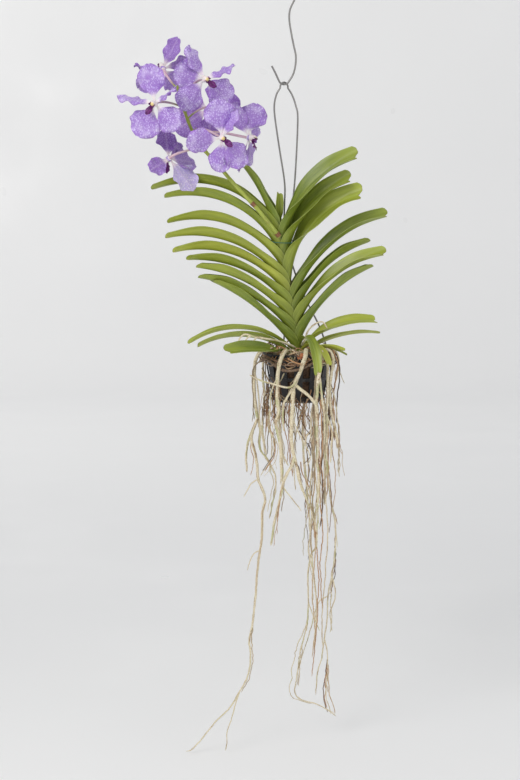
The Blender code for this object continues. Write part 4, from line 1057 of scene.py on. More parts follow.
# %% The roots' table
LUMP_RING = 10.5
ROOTS = {
    "roots_left": (205, (
        (5.5, 4.6, ((-28, -10, -3), (-46, -17, 5), (-57, -18, -4), (-61, -17, -25), (-61, -16, -56),
                    (-58, -15, -82), (-56, -16, -93))),
        (4.2, 1.8, ((-56, -16, -91), (-63, -20, -107), (-65, -21, -120), (-59, -23, -143),
                    (-55, -26, -176), (-46, -28, -202), (-50, -31, -224), (-50, -34, -254),
                    (-53, -36, -275), (-57, -38, -302), (-59, -41, -337), (-63, -44, -372),
                    (-68, -47, -402), (-66, -48, -423), (-70, -50, -450), (-83, -52, -475),
                    (-96, -54, -496), (-116, -57, -515), (-136, -60, -540), (-149, -62, -553),
                    (-157, -63, -555))),
        (3.6, 2.6, ((-56, -16, -91), (-61, -14, -104), (-67, -13, -118), (-71, -13, -131),
                    (-73, -13, -146), (-71, -13, -168))),
        (3.2, 1.6, ((-56, -16, -91), (-53, -14, -108), (-54, -13, -124), (-52, -12, -138),
                    (-45, -12, -147), (-37, -11, -160), (-32, -11, -175), (-31, -11, -190),
                    (-34, -11, -206), (-40, -12, -234))),
        (2.6, 1.6, ((-61, -17, -26), (-56, -20, -46), (-54, -21, -75), (-53, -21, -98),
                    (-49, -20, -122), (-47, -19, -138))),
        (1.8, 1.3, ((-53, -36, -274), (-62, -38, -279), (-67, -38, -288), (-71, -38, -303))),
        (1.8, 1.3, ((-82, -52, -474), (-88, -54, -492), (-92, -56, -508), (-99, -59, -529),
                    (-99, -60, -543), (-101, -61, -555))),
        (2.0, 1.4, ((-55, -26, -175), (-65, -26, -181), (-70, -25, -190), (-76, -25, -201))),
    )),
    "roots_front_left": (250, (
        (6.2, 4.2, ((-12, -28, -2), (-18, -44, 6), (-24, -55, -3), (-28, -57, -25), (-29, -56, -60),
                    (-28, -55, -80), (-31, -55, -92), (-28, -54, -107), (-25, -53, -130),
                    (-23, -52, -150), (-22, -52, -175))),
        (2.6, 1.6, ((-25, -53, -130), (-20, -51, -140), (-14, -49, -153))),
        (2.2, 1.2, ((-28, -57, -27), (-38, -52, -50), (-39, -50, -76), (-41, -49, -97),
                    (-38, -48, -108), (-33, -47, -118), (-32, -46, -128), (-36, -46, -140),
                    (-42, -45, -152), (-53, -44, -168))),
    )),
    "roots_front": (295, (
        (6.4, 4.6, ((8, -28, -1), (10, -47, 7.5), (8, -60, -2), (1, -60, -22), (-6, -58, -40),
                    (-8, -58, -60), (-9, -57, -85), (-10, -56, -105), (-9, -55, -125), (-6, -54, -140),
                    (-2, -53, -154), (2, -52, -174), (8, -51, -191))),
        (4.6, 3.0, ((-6, -54, -140), (-10, -56, -153), (-17, -58, -165), (-22, -60, -179),
                    (-25, -61, -193), (-28, -61, -208), (-31, -60, -222), (-34, -59, -237),
                    (-38, -58, -263))),
        (2.0, 1.3, ((-22, -60, -178), (-15, -62, -189), (-5, -63, -201), (4, -63, -214))),
        (2.0, 1.2, ((-9, -57, -86), (0, -56, -105), (9, -55, -122), (16, -54, -140), (11, -54, -153))),
        (2.6, 1.4, ((7, -51, -189), (13, -50, -203), (18, -50, -215), (21, -49, -231))),
        (3.2, 2.0, ((1, -59, -23), (-7, -63, -38), (-16, -66, -42), (-32, -65, -38), (-50, -58, -34),
                    (-68, -46, -27))),
    )),
    "roots_right": (340, (
        (6.4, 3.0, ((22, -21, -1), (31, -40, 6), (32, -53, -1), (28, -57, -22), (25, -56, -45),
                    (24, -54, -70), (25, -52, -95), (26, -50, -125), (26, -48, -150), (28, -46, -165),
                    (28, -45, -190), (26, -44, -210), (23, -43, -232), (27, -42, -252))),
        (2.4, 1.5, ((26, -42, -250), (25, -41, -268), (18, -38, -280), (15, -34, -300),
                    (14, -30, -318), (15, -22, -352), (14, -16, -380), (10, -10, -402), (6, -4, -420),
                    (3, 2, -440), (-1, 6, -470), (-3, 9, -488), (1, 11, -500), (12, 12, -505),
                    (28, 11, -509), (45, 9, -518), (56, 7, -526))),
        (3.2, 1.6, ((28, -57, -24), (33, -52, -66), (36, -48, -95), (35, -45, -124), (39, -42, -152),
                    (43, -38, -182), (47, -34, -212), (52, -30, -240), (52, -26, -278),
                    (48, -22, -312), (43, -16, -345), (42, -10, -378), (38, -4, -410), (35, 2, -438),
                    (29, 6, -462), (27, 10, -495))),
        (1.8, 1.2, ((38, -4, -408), (42, -2, -425), (43, 2, -442), (42, 6, -470), (42, 8, -498),
                    (46, 10, -512), (49, 12, -524))),
        (1.6, 1.0, ((15, -22, -351), (20, -20, -366), (25, -17, -380), (31, -14, -395))),
        (1.8, 1.2, ((43, -16, -344), (31, -12, -353), (25, -9, -368), (18, -4, -396), (13, 0, -416),
                    (4, 6, -447))),
        (2.6, 1.3, ((25, -56, -47), (18, -54, -76), (17, -51, -110), (20, -48, -150), (16, -46, -190),
                    (19, -44, -230), (15, -40, -270), (22, -36, -310), (26, -30, -350),
                    (24, -25, -386))),
        (2.0, 1.4, ((48, -22, -311), (52, -20, -332), (53, -16, -346), (50, -12, -359),
                    (46, -10, -373), (49, -8, -397))),
    )),
    "roots_far_right": (28, (
        (5.0, 3.8, ((26, -8, -1), (40, -28, 6), (47, -36, -3), (46, -41, -20), (43, -41, -42),
                    (44, -39, -68), (47, -38, -86), (51, -37, -104), (54, -36, -118),
                    (54, -36, -131))),
        (2.0, 1.2, ((43, -41, -40), (50, -35, -60), (53, -31, -82), (56, -27, -103), (55, -25, -124),
                    (58, -23, -141), (56, -21, -153), (58, -19, -173))),
        (3.2, 1.8, ((25, -7, -1), (46, -14, 5), (55, -16, -3), (56, -15, -22), (52, -13, -40))),
        (1.8, 1.0, ((56, -15, -20), (60, -13, -32), (65, -12, -43))),
    )),
    "roots_back": (80, (
        (4.4, 1.8, ((3, 28, -2), (6, 45, 6), (7, 56, -3), (8, 58, -30), (10, 56, -80), (8, 50, -130),
                    (13, 46, -190), (18, 40, -250), (22, 32, -310), (28, 26, -370), (24, 22, -430))),
        (3.2, 1.6, ((8, 58, -29), (20, 53, -60), (26, 48, -110), (23, 44, -160), (30, 38, -220),
                    (26, 32, -290))),
        (3.4, 2.0, ((7, 56, -5), (-12, 57, -16), (-22, 52, -50), (-26, 47, -100), (-20, 43, -150),
                    (-24, 40, -195))),
        (2.6, 1.5, ((10, 56, -79), (2, 53, -110), (-5, 51, -150), (-2, 47, -204))),
    )),
    "roots_back_left": (157, (
        (4.2, 2.6, ((-28, 19, -2), (-40, 30, 5), (-47, 37, -4), (-49, 38, -30), (-47, 36, -75),
                    (-50, 32, -110), (-44, 30, -152))),
        (2.2, 1.3, ((-47, 36, -74), (-40, 34, -104), (-36, 31, -138), (-40, 28, -176))),
    )),
}
STEM_ROOTS = {
    "root_stem_left": (3.0, 2.4, ((-2.0, -5.5, 5), (-10, -15, 11), (-30, -20, 18), (-58, -24, 23),
                                  (-74, -25, 27), (-82, -26, 20), (-84, -27, 8))),
    "root_stem_right": (3.0, 2.0, ((5.3, -4.4, 10), (9, -9.8, 18), (13, -14, 30), (22, -18, 40),
                                   (33, -20, 44), (40, -20, 35))),
}
STUBS = {
    "root_stem_left": (((-58, -24, 23), (-62, -26, 17), (-63, -27, 9)),
                       ((-66, -25, 25), (-72, -27, 21), (-73, -28, 15))),
}
print("bunches:", len(ROOTS), "strands:", sum(len(strands) for _, strands in ROOTS.values()))

# %% Root shape
ROOT_GAP, ROOT_TIP = 2.6, 0.97
THICK_SIDES, THIN_SIDES = 10, 7


def lay_root(body, route, thick, thin, seed, wander=0.9, brown=0.1):
    """One root along its route, wandering and swelling a little, with a rounded tip."""
    line, length = resample(through(route), max(ROOT_GAP, thin * 1.1))
    last = len(line) - 1
    shaped, radii = [], []
    for index, point in enumerate(line):
        share = index / last
        run = share * length
        sway = Vector((rough(run / 16, 0.0, seed), rough(run / 16, 9.0, seed), 0))
        fine = Vector((rough(run / 5, 4.0, seed), rough(run / 5, 6.0, seed), 0)) * 0.5
        shaped.append(point + (sway + fine) * wander * ease(share * 8))
        swell = 1 + 0.2 * rough(run / 9, 2.0, seed) + 0.12 * rough(run / 3, 5.0, seed)
        radius = mix(thick, thin, share) / 2 * swell
        if share > ROOT_TIP:
            radius *= math.sqrt(max(1 - ((share - ROOT_TIP) / (1 - ROOT_TIP)) ** 2, 0.06))
        radii.append(radius)
    body.add_tube(shaped, radii, THICK_SIDES if thick > 3 else THIN_SIDES, seed, side=brown)


def side_roots(body, route, count, seed):
    """Thin roots that leave a strand and hang beside it."""
    pick = random.Random(seed)
    line, _ = resample(through(route), 8)
    for number in range(count):
        start = int(mix(0.12, 0.75, pick.random()) * len(line))
        reach = int(mix(6, 22, pick.random()))
        turn = pick.uniform(0, 2 * math.pi)
        out = Vector((math.cos(turn), math.sin(turn), 0)) * pick.uniform(3, 9)
        points = [line[start]]
        for step in range(2, reach, 2):
            if start + step >= len(line):
                break
            points.append(line[start + step] + out * ease(step / 8))
        if len(points) > 2:
            size = pick.uniform(0.9, 1.7)
            lay_root(body, points, size, size * 0.7, seed + number * 0.61, wander=2.2, brown=pick.random())


print("a root has a ring of points every", ROOT_GAP, "mm")

# %% [markdown]
# The solids have only the main strands. In front of and between them hang finer ones, brown and cream,
# which cross and bend as they please. Those that can be told apart are marked one by one: thickness, how
# brown, and the route. `SIDE_ROOTS` then says how many thin roots leave each long strand of a bunch.

# %% The finer strands' table
TANGLE = {
    "roots_left": (
        (1.8, 0.6, ((-50, -26, -8), (-58, -24, -14), (-63, -20, -24), (-64, -18, -45), (-62, -17, -70),
                    (-64, -17, -96))),
        (1.3, 0.4, ((-40, -46, -58), (-38, -45, -70), (-42, -45, -83), (-43, -44, -95), (-39, -43, -106),
                    (-36, -42, -118), (-38, -42, -140))),
        (1.4, 0.7, ((-62, -17, -110), (-66, -18, -130), (-62, -18, -150), (-66, -17, -172))),
    ),
    "roots_front_left": (
        (5.0, 0.75, ((-52, -20, -10), (-43, -36, -6), (-32, -48, -14), (-20, -54, -20), (-3, -58, -19),
                     (8, -57, -15), (20, -52, -9))),
        (3.2, 0.85, ((-46, -32, -2), (-30, -46, -8), (-14, -55, -13), (2, -59, -10), (16, -55, -5),
                     (26, -46, -1))),
        (2.2, 0.6, ((-50, -24, -20), (-42, -36, -34), (-30, -46, -50), (-18, -51, -60), (-8, -53, -66))),
        (1.8, 0.5, ((-20, -54, -24), (-27, -50, -40), (-26, -48, -56), (-15, -52, -64), (-2, -56, -58))),
        (1.5, 0.9, ((-38, -42, -30), (-30, -47, -44), (-34, -44, -60), (-26, -46, -72), (-18, -46, -62))),
        (2.4, 0.9, ((-42, -38, -40), (-41, -39, -54), (-43, -38, -66))),
        (1.5, 0.8, ((-21, -42, -62), (-18, -42, -80), (-20, -42, -100), (-14, -40, -125), (-16, -38, -150))),
        (1.6, 0.7, ((-12, -44, -64), (-14, -44, -84), (-10, -43, -104), (-12, -42, -140), (-8, -40, -170))),
        (1.4, 0.8, ((-30, -44, -60), (-33, -44, -78), (-29, -43, -96), (-31, -42, -112))),
    ),
    "roots_front": (
        (5.0, 0.1, ((-4, -58, -40), (6, -60, -48), (14, -59, -55), (22, -58, -64), (27, -57, -80))),
        (3.4, 0.1, ((-9, -60, -44), (-16, -59, -56), (-21, -58, -70), (-22, -57, -86), (-20, -56, -104))),
        (1.5, 0.9, ((-3, -54, -60), (6, -53, -72), (10, -53, -83), (17, -52, -92), (18, -51, -106),
                    (14, -50, -122))),
        (1.6, 0.8, ((-18, -52, -70), (-20, -52, -84), (-15, -51, -96), (-8, -50, -104), (-2, -50, -120))),
        (1.4, 0.9, ((4, -52, -90), (10, -51, -102), (17, -50, -112), (15, -48, -130))),
        (1.6, 0.6, ((-7, -50, -60), (-1, -50, -72), (7, -49, -78), (14, -48, -89), (20, -48, -103),
                    (18, -46, -130))),
        (1.6, 0.8, ((1, -48, -104), (8, -47, -116), (17, -46, -130), (14, -46, -144), (7, -45, -151))),
        (1.5, 0.8, ((3, -46, -148), (7, -45, -166), (14, -44, -180), (17, -44, -194), (12, -42, -230))),
        (1.4, 0.7, ((14, -44, -122), (12, -44, -137), (15, -43, -158), (14, -42, -173), (18, -42, -184),
                    (16, -40, -215))),
        (3.4, 0.3, ((17, -47, -104), (11, -48, -113), (10, -48, -128))),
        (3.0, 0.8, ((14, -54, -4), (6, -60, -10), (-6, -62, -8), (-16, -58, -2))),
    ),
    "roots_right": (
        (4.2, 0.1, ((38, -38, 2), (40, -44, -12), (40, -45, -40), (39, -44, -80), (38, -42, -150),
                    (36, -38, -210))),
        (3.0, 0.9, ((42, -36, 4), (44, -38, -20), (44, -38, -50), (43, -38, -80), (45, -36, -120))),
        (3.2, 0.2, ((32, -46, -70), (38, -44, -84), (44, -42, -96), (46, -41, -112), (45, -40, -150))),
        (2.8, 0.9, ((32, -48, -84), (33, -47, -110), (32, -46, -150), (34, -44, -200), (31, -42, -240))),
        (2.2, 0.6, ((38, -45, -90), (41, -43, -104), (40, -42, -128), (42, -40, -160), (39, -38, -200))),
        (2.2, 0.5, ((22, -54, -50), (20, -51, -110), (23, -48, -160), (20, -45, -215), (24, -42, -270),
                    (20, -38, -330), (24, -33, -390), (20, -28, -430))),
        (2.0, 0.7, ((30, -52, -60), (33, -49, -120), (29, -46, -180), (34, -42, -240), (31, -38, -300),
                    (35, -32, -360))),
        (2.2, 0.3, ((36, -47, -60), (34, -46, -120), (38, -42, -190), (41, -38, -250), (38, -34, -310),
                    (34, -28, -370), (36, -24, -420))),
        (1.8, 0.8, ((26, -47, -100), (28, -45, -170), (24, -42, -240), (29, -38, -320), (25, -30, -400),
                    (20, -20, -460))),
        (2.6, 0.6, ((20, -56, -8), (23, -58, -30), (19, -57, -70), (22, -54, -120), (19, -51, -170))),
    ),
    "roots_far_right": (
        (2.4, 0.7, ((48, -24, 5), (54, -25, -12), (52, -29, -30), (49, -32, -54), (48, -34, -78),
                    (50, -34, -120))),
        (2.0, 0.9, ((50, -14, 3), (56, -18, -10), (57, -22, -34), (54, -27, -60), (53, -30, -96))),
        (1.6, 0.6, ((46, -40, -60), (50, -38, -90), (47, -37, -130), (52, -35, -170), (49, -33, -214))),
        (1.4, 0.8, ((44, -40, -100), (42, -39, -150), (46, -37, -200), (44, -35, -250))),
    ),
    "roots_back": (
        (2.2, 0.5, ((7, 56, -4), (14, 55, -40), (10, 52, -100), (16, 48, -170), (12, 44, -230))),
        (1.8, 0.7, ((4, 55, -6), (-8, 54, -60), (-12, 50, -120), (-6, 46, -180))),
    ),
    "roots_back_left": (
        (1.8, 0.6, ((-46, 36, -6), (-44, 40, -50), (-40, 38, -100), (-43, 34, -150))),
    ),
}
SIDE_ROOTS = {"roots_left": 2, "roots_front_left": 3, "roots_front": 3, "roots_right": 5,
              "roots_far_right": 4, "roots_back": 3, "roots_back_left": 2}
print("finer strands:", sum(len(strands) for strands in TANGLE.values()))

# %% Make the roots
for number, (name, (turn, strands)) in enumerate(ROOTS.items()):
    bunch = Body()
    angle = math.radians(turn)
    lump = Vector((math.cos(angle) * LUMP_RING, math.sin(angle) * LUMP_RING, -22))
    for index, (thick, thin, route) in enumerate(strands):
        points = ([lump] if index == 0 else []) + list(route)
        lay_root(bunch, points, thick, thin, number * 3.1 + index * 0.7)
        if len(route) > 6:
            side_roots(bunch, route, SIDE_ROOTS[name], number * 31 + index)
    for index, (thick, brown, route) in enumerate(TANGLE[name]):
        lay_root(bunch, route, thick, thick * 0.65, number * 5.3 + index * 0.9 + 0.4, 1.3, brown)
    finish_piece(name + "_strands", bunch, root_skin, (name,))
    print(name, len(bunch.faces), "faces")

# %% Make the two roots among the leaves
STUB_START, STUB_END = 2.4, 2.0
for number, (name, (thick, thin, route)) in enumerate(STEM_ROOTS.items()):
    single = Body()
    lay_root(single, route, thick, thin, 50.0 + number, wander=0.5)
    for stub in STUBS.get(name, ()):
        lay_root(single, stub, STUB_START, STUB_END, 53.0 + stub[0][0], wander=0.3)
    finish_piece(name + "_strand", single, root_skin, (name,))
    print(name, len(single.faces), "faces")

# %% [markdown]
# Round the mouth of the basket the roots make a nest of dry brown strands that winds over the rim, and
# under the slots hangs a fringe of fine ones. Nobody would mark some hundred routes by hand, so a seeded
# rule winds each strand round the rim, with its own reach, height and brown.

# %% Make the nest on the rim and the fringe below it
NEST_STRANDS, NEST_SWEEPS, NEST_RINGS, NEST_HEIGHTS = 74, (0.5, 1.7), (41, 53), (-5, 8)
RIM_EDGE, RIM_DIP = 48, 9
FRINGE_STRANDS, FRINGE_RINGS, FRINGE_HEIGHTS, FRINGE_DROPS = 60, (30, 44), (-62, -30), (5, 13)


def nest_strand(pick):
    """A strand that winds along the basket's mouth and dips over the rim."""
    turn, sweep = pick.uniform(0, 2 * math.pi), pick.uniform(*NEST_SWEEPS) * pick.choice((-1, 1))
    ring, height = pick.uniform(*NEST_RINGS), pick.uniform(*NEST_HEIGHTS)
    route = []
    for step in range(9):
        angle = turn + sweep * step / 8
        reach = ring + pick.uniform(-4, 4)
        dip = RIM_DIP if reach > RIM_EDGE else 0
        route.append((reach * math.cos(angle), reach * math.sin(angle), height + pick.uniform(-5, 4) - dip))
    return route


def fringe_strand(pick):
    """A fine strand that comes out of the basket low down and hangs."""
    turn, ring = pick.uniform(0, 2 * math.pi), pick.uniform(*FRINGE_RINGS)
    height, way = pick.uniform(*FRINGE_HEIGHTS), pick.uniform(-5, 5)
    route = [(ring * math.cos(turn), ring * math.sin(turn), height)]
    for step in range(1, 7):
        reach = ring + 5 * ease(step / 2) + pick.uniform(-2, 2)
        angle = turn + way * 0.02 * step
        route.append((reach * math.cos(angle), reach * math.sin(angle),
                      height - step * pick.uniform(*FRINGE_DROPS)))
    return route


NEST_SEED = 29
pick = random.Random(NEST_SEED)
nest = Body()
for number in range(NEST_STRANDS):
    size = pick.uniform(1.1, 3.0)
    lay_root(nest, nest_strand(pick), size, size * 0.6, 80 + number * 0.83, 1.4, pick.uniform(0.3, 1.0))
for number in range(FRINGE_STRANDS):
    size = pick.uniform(0.9, 1.7)
    lay_root(nest, fringe_strand(pick), size, size * 0.5, 160 + number * 0.83, 2.6, pick.uniform(0.4, 1.0))
finish_piece("rim_nest", nest, root_skin)
print("strands in the nest and the fringe:", NEST_STRANDS + FRINGE_STRANDS)

# %% [markdown]
# ## Stem
#
# Little of the stem shows between the leaves: a brownish green rod with the ring scars of old leaves,
# and a thicker crown that the roots leave.

# %% Make the stem
def stem_finish():
    """Brownish green bark with pale rings."""
    finish, tree, shader = new_finish("stem_bark")
    across, along, _ = split(tree, mark(tree, "lay", "Vector"))
    grain = clouds(tree, join(tree, across, times(tree, along, 0.3), 1.0), 0.9, 4, 0.65)
    rings = clouds(tree, join(tree, 0.0, along, 2.0), 0.35, 2)
    colour = blend(tree, grain, (0.1, 0.085, 0.03), (0.3, 0.27, 0.1))
    colour = blend(tree, times(tree, fade(tree, rings, 0.55, 0.7), 0.5), colour, (0.42, 0.33, 0.18))
    dress(tree, shader, colour, grain, 0.2, 0.55)
    relief(tree, shader, plus(tree, grain, rings), 0.7, 0.0008)
    return finish


stem_bark = stem_finish()
STEM_END, STEM_STEPS, STEM_TIP_RADIUS = 172, 90, 3.0
SCAR_HEIGHT, SCAR_SPACING, STEM_INSET = 0.35, 4.1, 0.2
rod = Body()
heights = [mix(STEM_FOOT, STEM_END, step / STEM_STEPS) for step in range(STEM_STEPS + 1)]
scars = [SCAR_HEIGHT * abs(math.sin(h / SCAR_SPACING)) ** 6 for h in heights]
girths = [stem_radius(h) - STEM_INSET + scar for h, scar in zip(heights, scars)]
girths[-1] = STEM_TIP_RADIUS
rod.add_tube([Vector((stem_x(h), 0, h)) for h in heights], girths, 18)
finish_piece("stem_rod", rod, stem_bark, ("stem",))
print("stem rings:", len(heights))

# %% [markdown]
# ## Basket
#
# The basket is a moulded cup of black plastic: a rolled rim, upright slats with slots between them, a
# plain band in the middle and a slotted floor. A turned profile with holes could be cut by a Boolean,
# but building each slat as a small tapered bar between rings leaves clean edges for a bevel, and no
# holes to cut.

# %% The basket's finish
def basket_finish():
    """Black plastic, dusty and a little worn."""
    finish, tree, shader = new_finish("basket_plastic")
    spot = add(tree, "TexCoord").outputs["Object"]
    dust = clouds(tree, spot, 60.0, 5, 0.65)
    fine = clouds(tree, spot, 900.0, 2)
    colour = blend(tree, fade(tree, dust, 0.52, 0.78), (0.012, 0.012, 0.014), (0.075, 0.07, 0.065))
    dress(tree, shader, colour, dust, 0.35, 0.28)
    relief(tree, shader, fine, 0.15, 0.0003)
    return finish


basket_plastic = basket_finish()
RIM_RADIUS, RIM_WIDTH, RIM_THICKNESS, WALL = 50, 4, 2, 2
FOOT_RADIUS, FOOT_HEIGHT, BASKET_HEIGHT, SLATS, SLOT_WIDTH = 36, 3, 68, 12, 10
print("basket finish ready")

# %% Make the basket's rings
def turned_ring(body, profile, sides=96):
    """A ring with a closed profile of radius and height."""
    first = len(body.points)
    count = len(profile)
    for step in range(sides):
        angle = 2 * math.pi * step / sides
        for radius, height in profile:
            body.add_point(Vector((radius * math.cos(angle), radius * math.sin(angle), height)),
                           (angle * radius, height, step / sides), 0.5, 1.0, 0.0)
    for step in range(sides):
        after = (step + 1) % sides
        for index in range(count):
            here, there = first + step * count, first + after * count
            following = (index + 1) % count
            body.faces.append((here + index, there + index, there + following, here + following))


def wall_radius(height):
    """The outer radius of the wall at a height."""
    return mix(FOOT_RADIUS, RIM_RADIUS - RIM_WIDTH + WALL / 2,
               (height + BASKET_HEIGHT - FOOT_HEIGHT) / (BASKET_HEIGHT - FOOT_HEIGHT - RIM_THICKNESS))


def band(low, high, proud=0.0):
    """The profile of a plain band of the wall, with small bevels."""
    bevel = 0.35
    top, foot = wall_radius(high) + proud, wall_radius(low) + proud
    return [(foot - WALL - proud, low), (foot - bevel, low), (foot, low + bevel), (top, high - bevel),
            (top - bevel, high), (top - WALL - proud, high)]


# Each profile is a closed line of radius and height; each band has its two heights and how proud it stands
RIM_PROFILE = ((46, -2), (49.4, -2), (50, -1.5), (50, -0.5), (49.4, 0), (46.4, 0), (45.8, -0.5),
               (45.8, -8), (46.4, -8.6), (46.8, -8))
FOOT_PROFILE = ((30, -68), (33.4, -68), (36, -65.6), (36, -65), (34, -65), (32.6, -66), (30, -66))
FLOOR_HUB_PROFILE = ((8, -68), (12, -68), (12, -66.2), (8, -66.2))
BANDS = ((-37.5, -32.5, 0.4), (-66, -59.5, 0.3))
cup = Body()
turned_ring(cup, RIM_PROFILE)
for low, high, proud in BANDS:
    turned_ring(cup, band(low, high, proud))
turned_ring(cup, FOOT_PROFILE)
turned_ring(cup, FLOOR_HUB_PROFILE, 48)
print("basket rings:", len(cup.faces), "faces")

# %% Add the slats and the spokes of the floor
SLAT_ROWS = ((-33, -8), (-60, -37))
SPOKES, SPOKE_HALF, SPOKE_REACH, SPOKE_HEIGHTS = 6, 4.5, (11, 31), (-68, -66)
SOFT_EDGE = 0.0003


def bar(body, corners, seed=0.0):
    """A bar between two rectangles of four corners."""
    first = len(body.points)
    for index, corner in enumerate(corners):
        body.add_point(Vector(corner), (index, 0, index / 8), 0.5, 1.0, seed)
    for face in ((3, 2, 1, 0), (4, 5, 6, 7), (0, 1, 5, 4), (1, 2, 6, 5), (2, 3, 7, 6), (3, 0, 4, 7)):
        body.faces.append(tuple(first + index for index in face))


for low, high in SLAT_ROWS:
    for slat in range(SLATS):
        angle = 2 * math.pi * slat / SLATS
        out = Vector((math.cos(angle), math.sin(angle), 0))
        wide = Vector((-out.y, out.x, 0))
        corners = []
        for height in (low, high):
            outer = wall_radius(height)
            half = outer * math.pi / SLATS - SLOT_WIDTH / 2
            for radius, hand in ((outer - WALL, -1), (outer, -1), (outer, 1), (outer - WALL, 1)):
                corners.append(out * radius + wide * hand * half + Vector((0, 0, height)))
        bar(cup, corners)
near, far = SPOKE_REACH
for spoke in range(SPOKES):
    angle = 2 * math.pi * (spoke + 0.5) / SPOKES
    out = Vector((math.cos(angle), math.sin(angle), 0))
    wide = Vector((-out.y, out.x, 0)) * SPOKE_HALF
    corners = []
    for height in SPOKE_HEIGHTS:
        for radius, hand in ((near, -1), (far, -1), (far, 1), (near, 1)):
            corners.append(out * radius + wide * hand + Vector((0, 0, height)))
    bar(cup, corners)
basket = finish_piece("basket_cup", cup, basket_plastic, ("basket",))
edges = basket.modifiers.new("soft edges", "BEVEL")
edges.width = SOFT_EDGE
edges.segments = 2
edges.limit_method = "ANGLE"
print("basket:", pieces_made["basket_cup"], "faces")

# %% [markdown]
# ## Bark
#
# Rough chips of bark hold the plant in the basket. Each is a block with its corners pushed about by a
# seeded draw and its edges worn by a bevel, because bark breaks in lumps with blunt edges. One chip of
# fresh orange bark, in two pieces, sits in the nest on the front of the rim.

# %% Make the bark
def bark_finish():
    """Rough brown bark in layers."""
    finish, tree, shader = new_finish("bark_rough")
    spot = add(tree, "TexCoord").outputs["Object"]
    seed = mark(tree, "seed")
    layers = clouds(tree, spot, 160.0, 6, 0.7, 0.6)
    colour = blend(tree, fade(tree, layers, 0.3, 0.7), (0.045, 0.024, 0.014), (0.2, 0.11, 0.06))
    colour = blend(tree, times(tree, seed, 0.8), colour, (0.5, 0.17, 0.07))
    dress(tree, shader, colour, layers, 0.2, 0.72)
    relief(tree, shader, layers, 0.9, 0.0015)
    return finish


CHIPS, CHIP_SEED, CHIP_RINGS, CHIP_HEIGHTS = 26, 11, (8, 27), (-60, -30)
CHIP_LENGTHS, CHIP_WIDTHS, CHIP_THICKNESSES, CHIP_WEAR = (8, 14), (6, 10), (3, 6), 0.0012
ORANGE_CHIP = ((6, -53.5, 1), (2, -51, -2))
ORANGE_CORNERS, ORANGE_HALF = ((-4.2, -3), (4.6, -2.4), (3.8, 3), (-4.4, 2.6)), 1.6
bark_rough = bark_finish()
pick = random.Random(CHIP_SEED)
chips = Body()
for number in range(CHIPS):
    turn = pick.uniform(0, 2 * math.pi)
    ring = pick.uniform(*CHIP_RINGS)
    height = mix(*CHIP_HEIGHTS, pick.random())
    centre = Vector((math.cos(turn) * ring, math.sin(turn) * ring, height))
    size = Vector((pick.uniform(*CHIP_LENGTHS), pick.uniform(*CHIP_WIDTHS), pick.uniform(*CHIP_THICKNESSES)))
    spin = Vector((math.cos(turn * 3), math.sin(turn * 3), pick.uniform(-0.4, 0.4))).normalized()
    across = spin.cross(Vector((0, 0, 1))).normalized()
    over = across.cross(spin)
    corners = []
    for h in (-1, 1):
        for a, b in ((-1, -1), (1, -1), (1, 1), (-1, 1)):
            jolt = 1 + 0.35 * pick.uniform(-1, 1)
            push = spin * size.x * a + across * size.y * b + over * size.z * h
            corners.append(centre + push * jolt * 0.7)
    bar(chips, corners)
for centre in ORANGE_CHIP:
    corners = []
    for h in (-ORANGE_HALF, ORANGE_HALF):
        for a, b in ORANGE_CORNERS:
            corners.append(Vector(centre) + Vector((a, b * 0.7, h + b * 0.6)))
    bar(chips, corners, 1.0)
bark = finish_piece("bark_lumps", chips, bark_rough, ("bark_chips",))
worn = bark.modifiers.new("worn", "BEVEL")
worn.width = CHIP_WEAR
worn.segments = 2
print("bark chips:", CHIPS)

# %% [markdown]
# Behind the slots the basket is full of matted old roots and crumbs. They are seen only through the
# slots, so one lumpy body is enough: a tube with many sides whose points are pushed in and out by noise.

# %% Make the matted roots that fill the basket
FILL_RINGS, FILL_SIDES, FILL_HEIGHTS, FILL_GAP = 26, 72, (-64, -9), 1.2
mat = Body()
heights = [mix(*FILL_HEIGHTS, step / (FILL_RINGS - 1)) for step in range(FILL_RINGS)]
axis = [Vector((0, 0, height)) for height in heights]
mat.add_tube(axis, [wall_radius(height) - WALL - FILL_GAP for height in heights], FILL_SIDES)
for index, point in enumerate(mat.points):
    outward = Vector((point.x, point.y, 0)).normalized()
    push = 2.6 * noise.noise(point / 6) + 1.4 * noise.noise(point / 2.2) - 1.6
    mat.points[index] = point + outward * min(push, 0.8)
finish_piece("matted_fill", mat, bark_rough)
print("matted fill:", pieces_made["matted_fill"], "faces")

# %% [markdown]
# ## Wires and tie
#
# The hook is a stiff grey wire, bent by hand, so its line wavers. The hanger is one wire bent to a narrow
# arch over it, with feet that clip under the basket's rim. A thin green-blue tie holds the stem to the
# hanger. All three are tubes along marked points.

# %% Finishes of the wire and the tie
def wire_finish():
    """Dull grey galvanised wire."""
    finish, tree, shader = new_finish("wire_grey")
    spot = add(tree, "TexCoord").outputs["Object"]
    blotches = clouds(tree, spot, 220.0, 4, 0.6)
    colour = blend(tree, blotches, (0.16, 0.155, 0.15), (0.38, 0.37, 0.36))
    dress(tree, shader, colour, blotches, 0.3, 0.3)
    shader.inputs["Metallic"].default_value = 0.7
    relief(tree, shader, blotches, 0.2, 0.0003)
    return finish


def tie_finish():
    """Thin dark teal plastic."""
    finish, tree, shader = new_finish("tie_teal")
    spot = add(tree, "TexCoord").outputs["Object"]
    scuff = clouds(tree, spot, 700.0, 3)
    colour = blend(tree, scuff, (0.004, 0.055, 0.05), (0.02, 0.17, 0.14))
    dress(tree, shader, colour, scuff, 0.2, 0.35)
    return finish


wire_grey, tie_teal = wire_finish(), tie_finish()
print("wire and tie finishes ready")

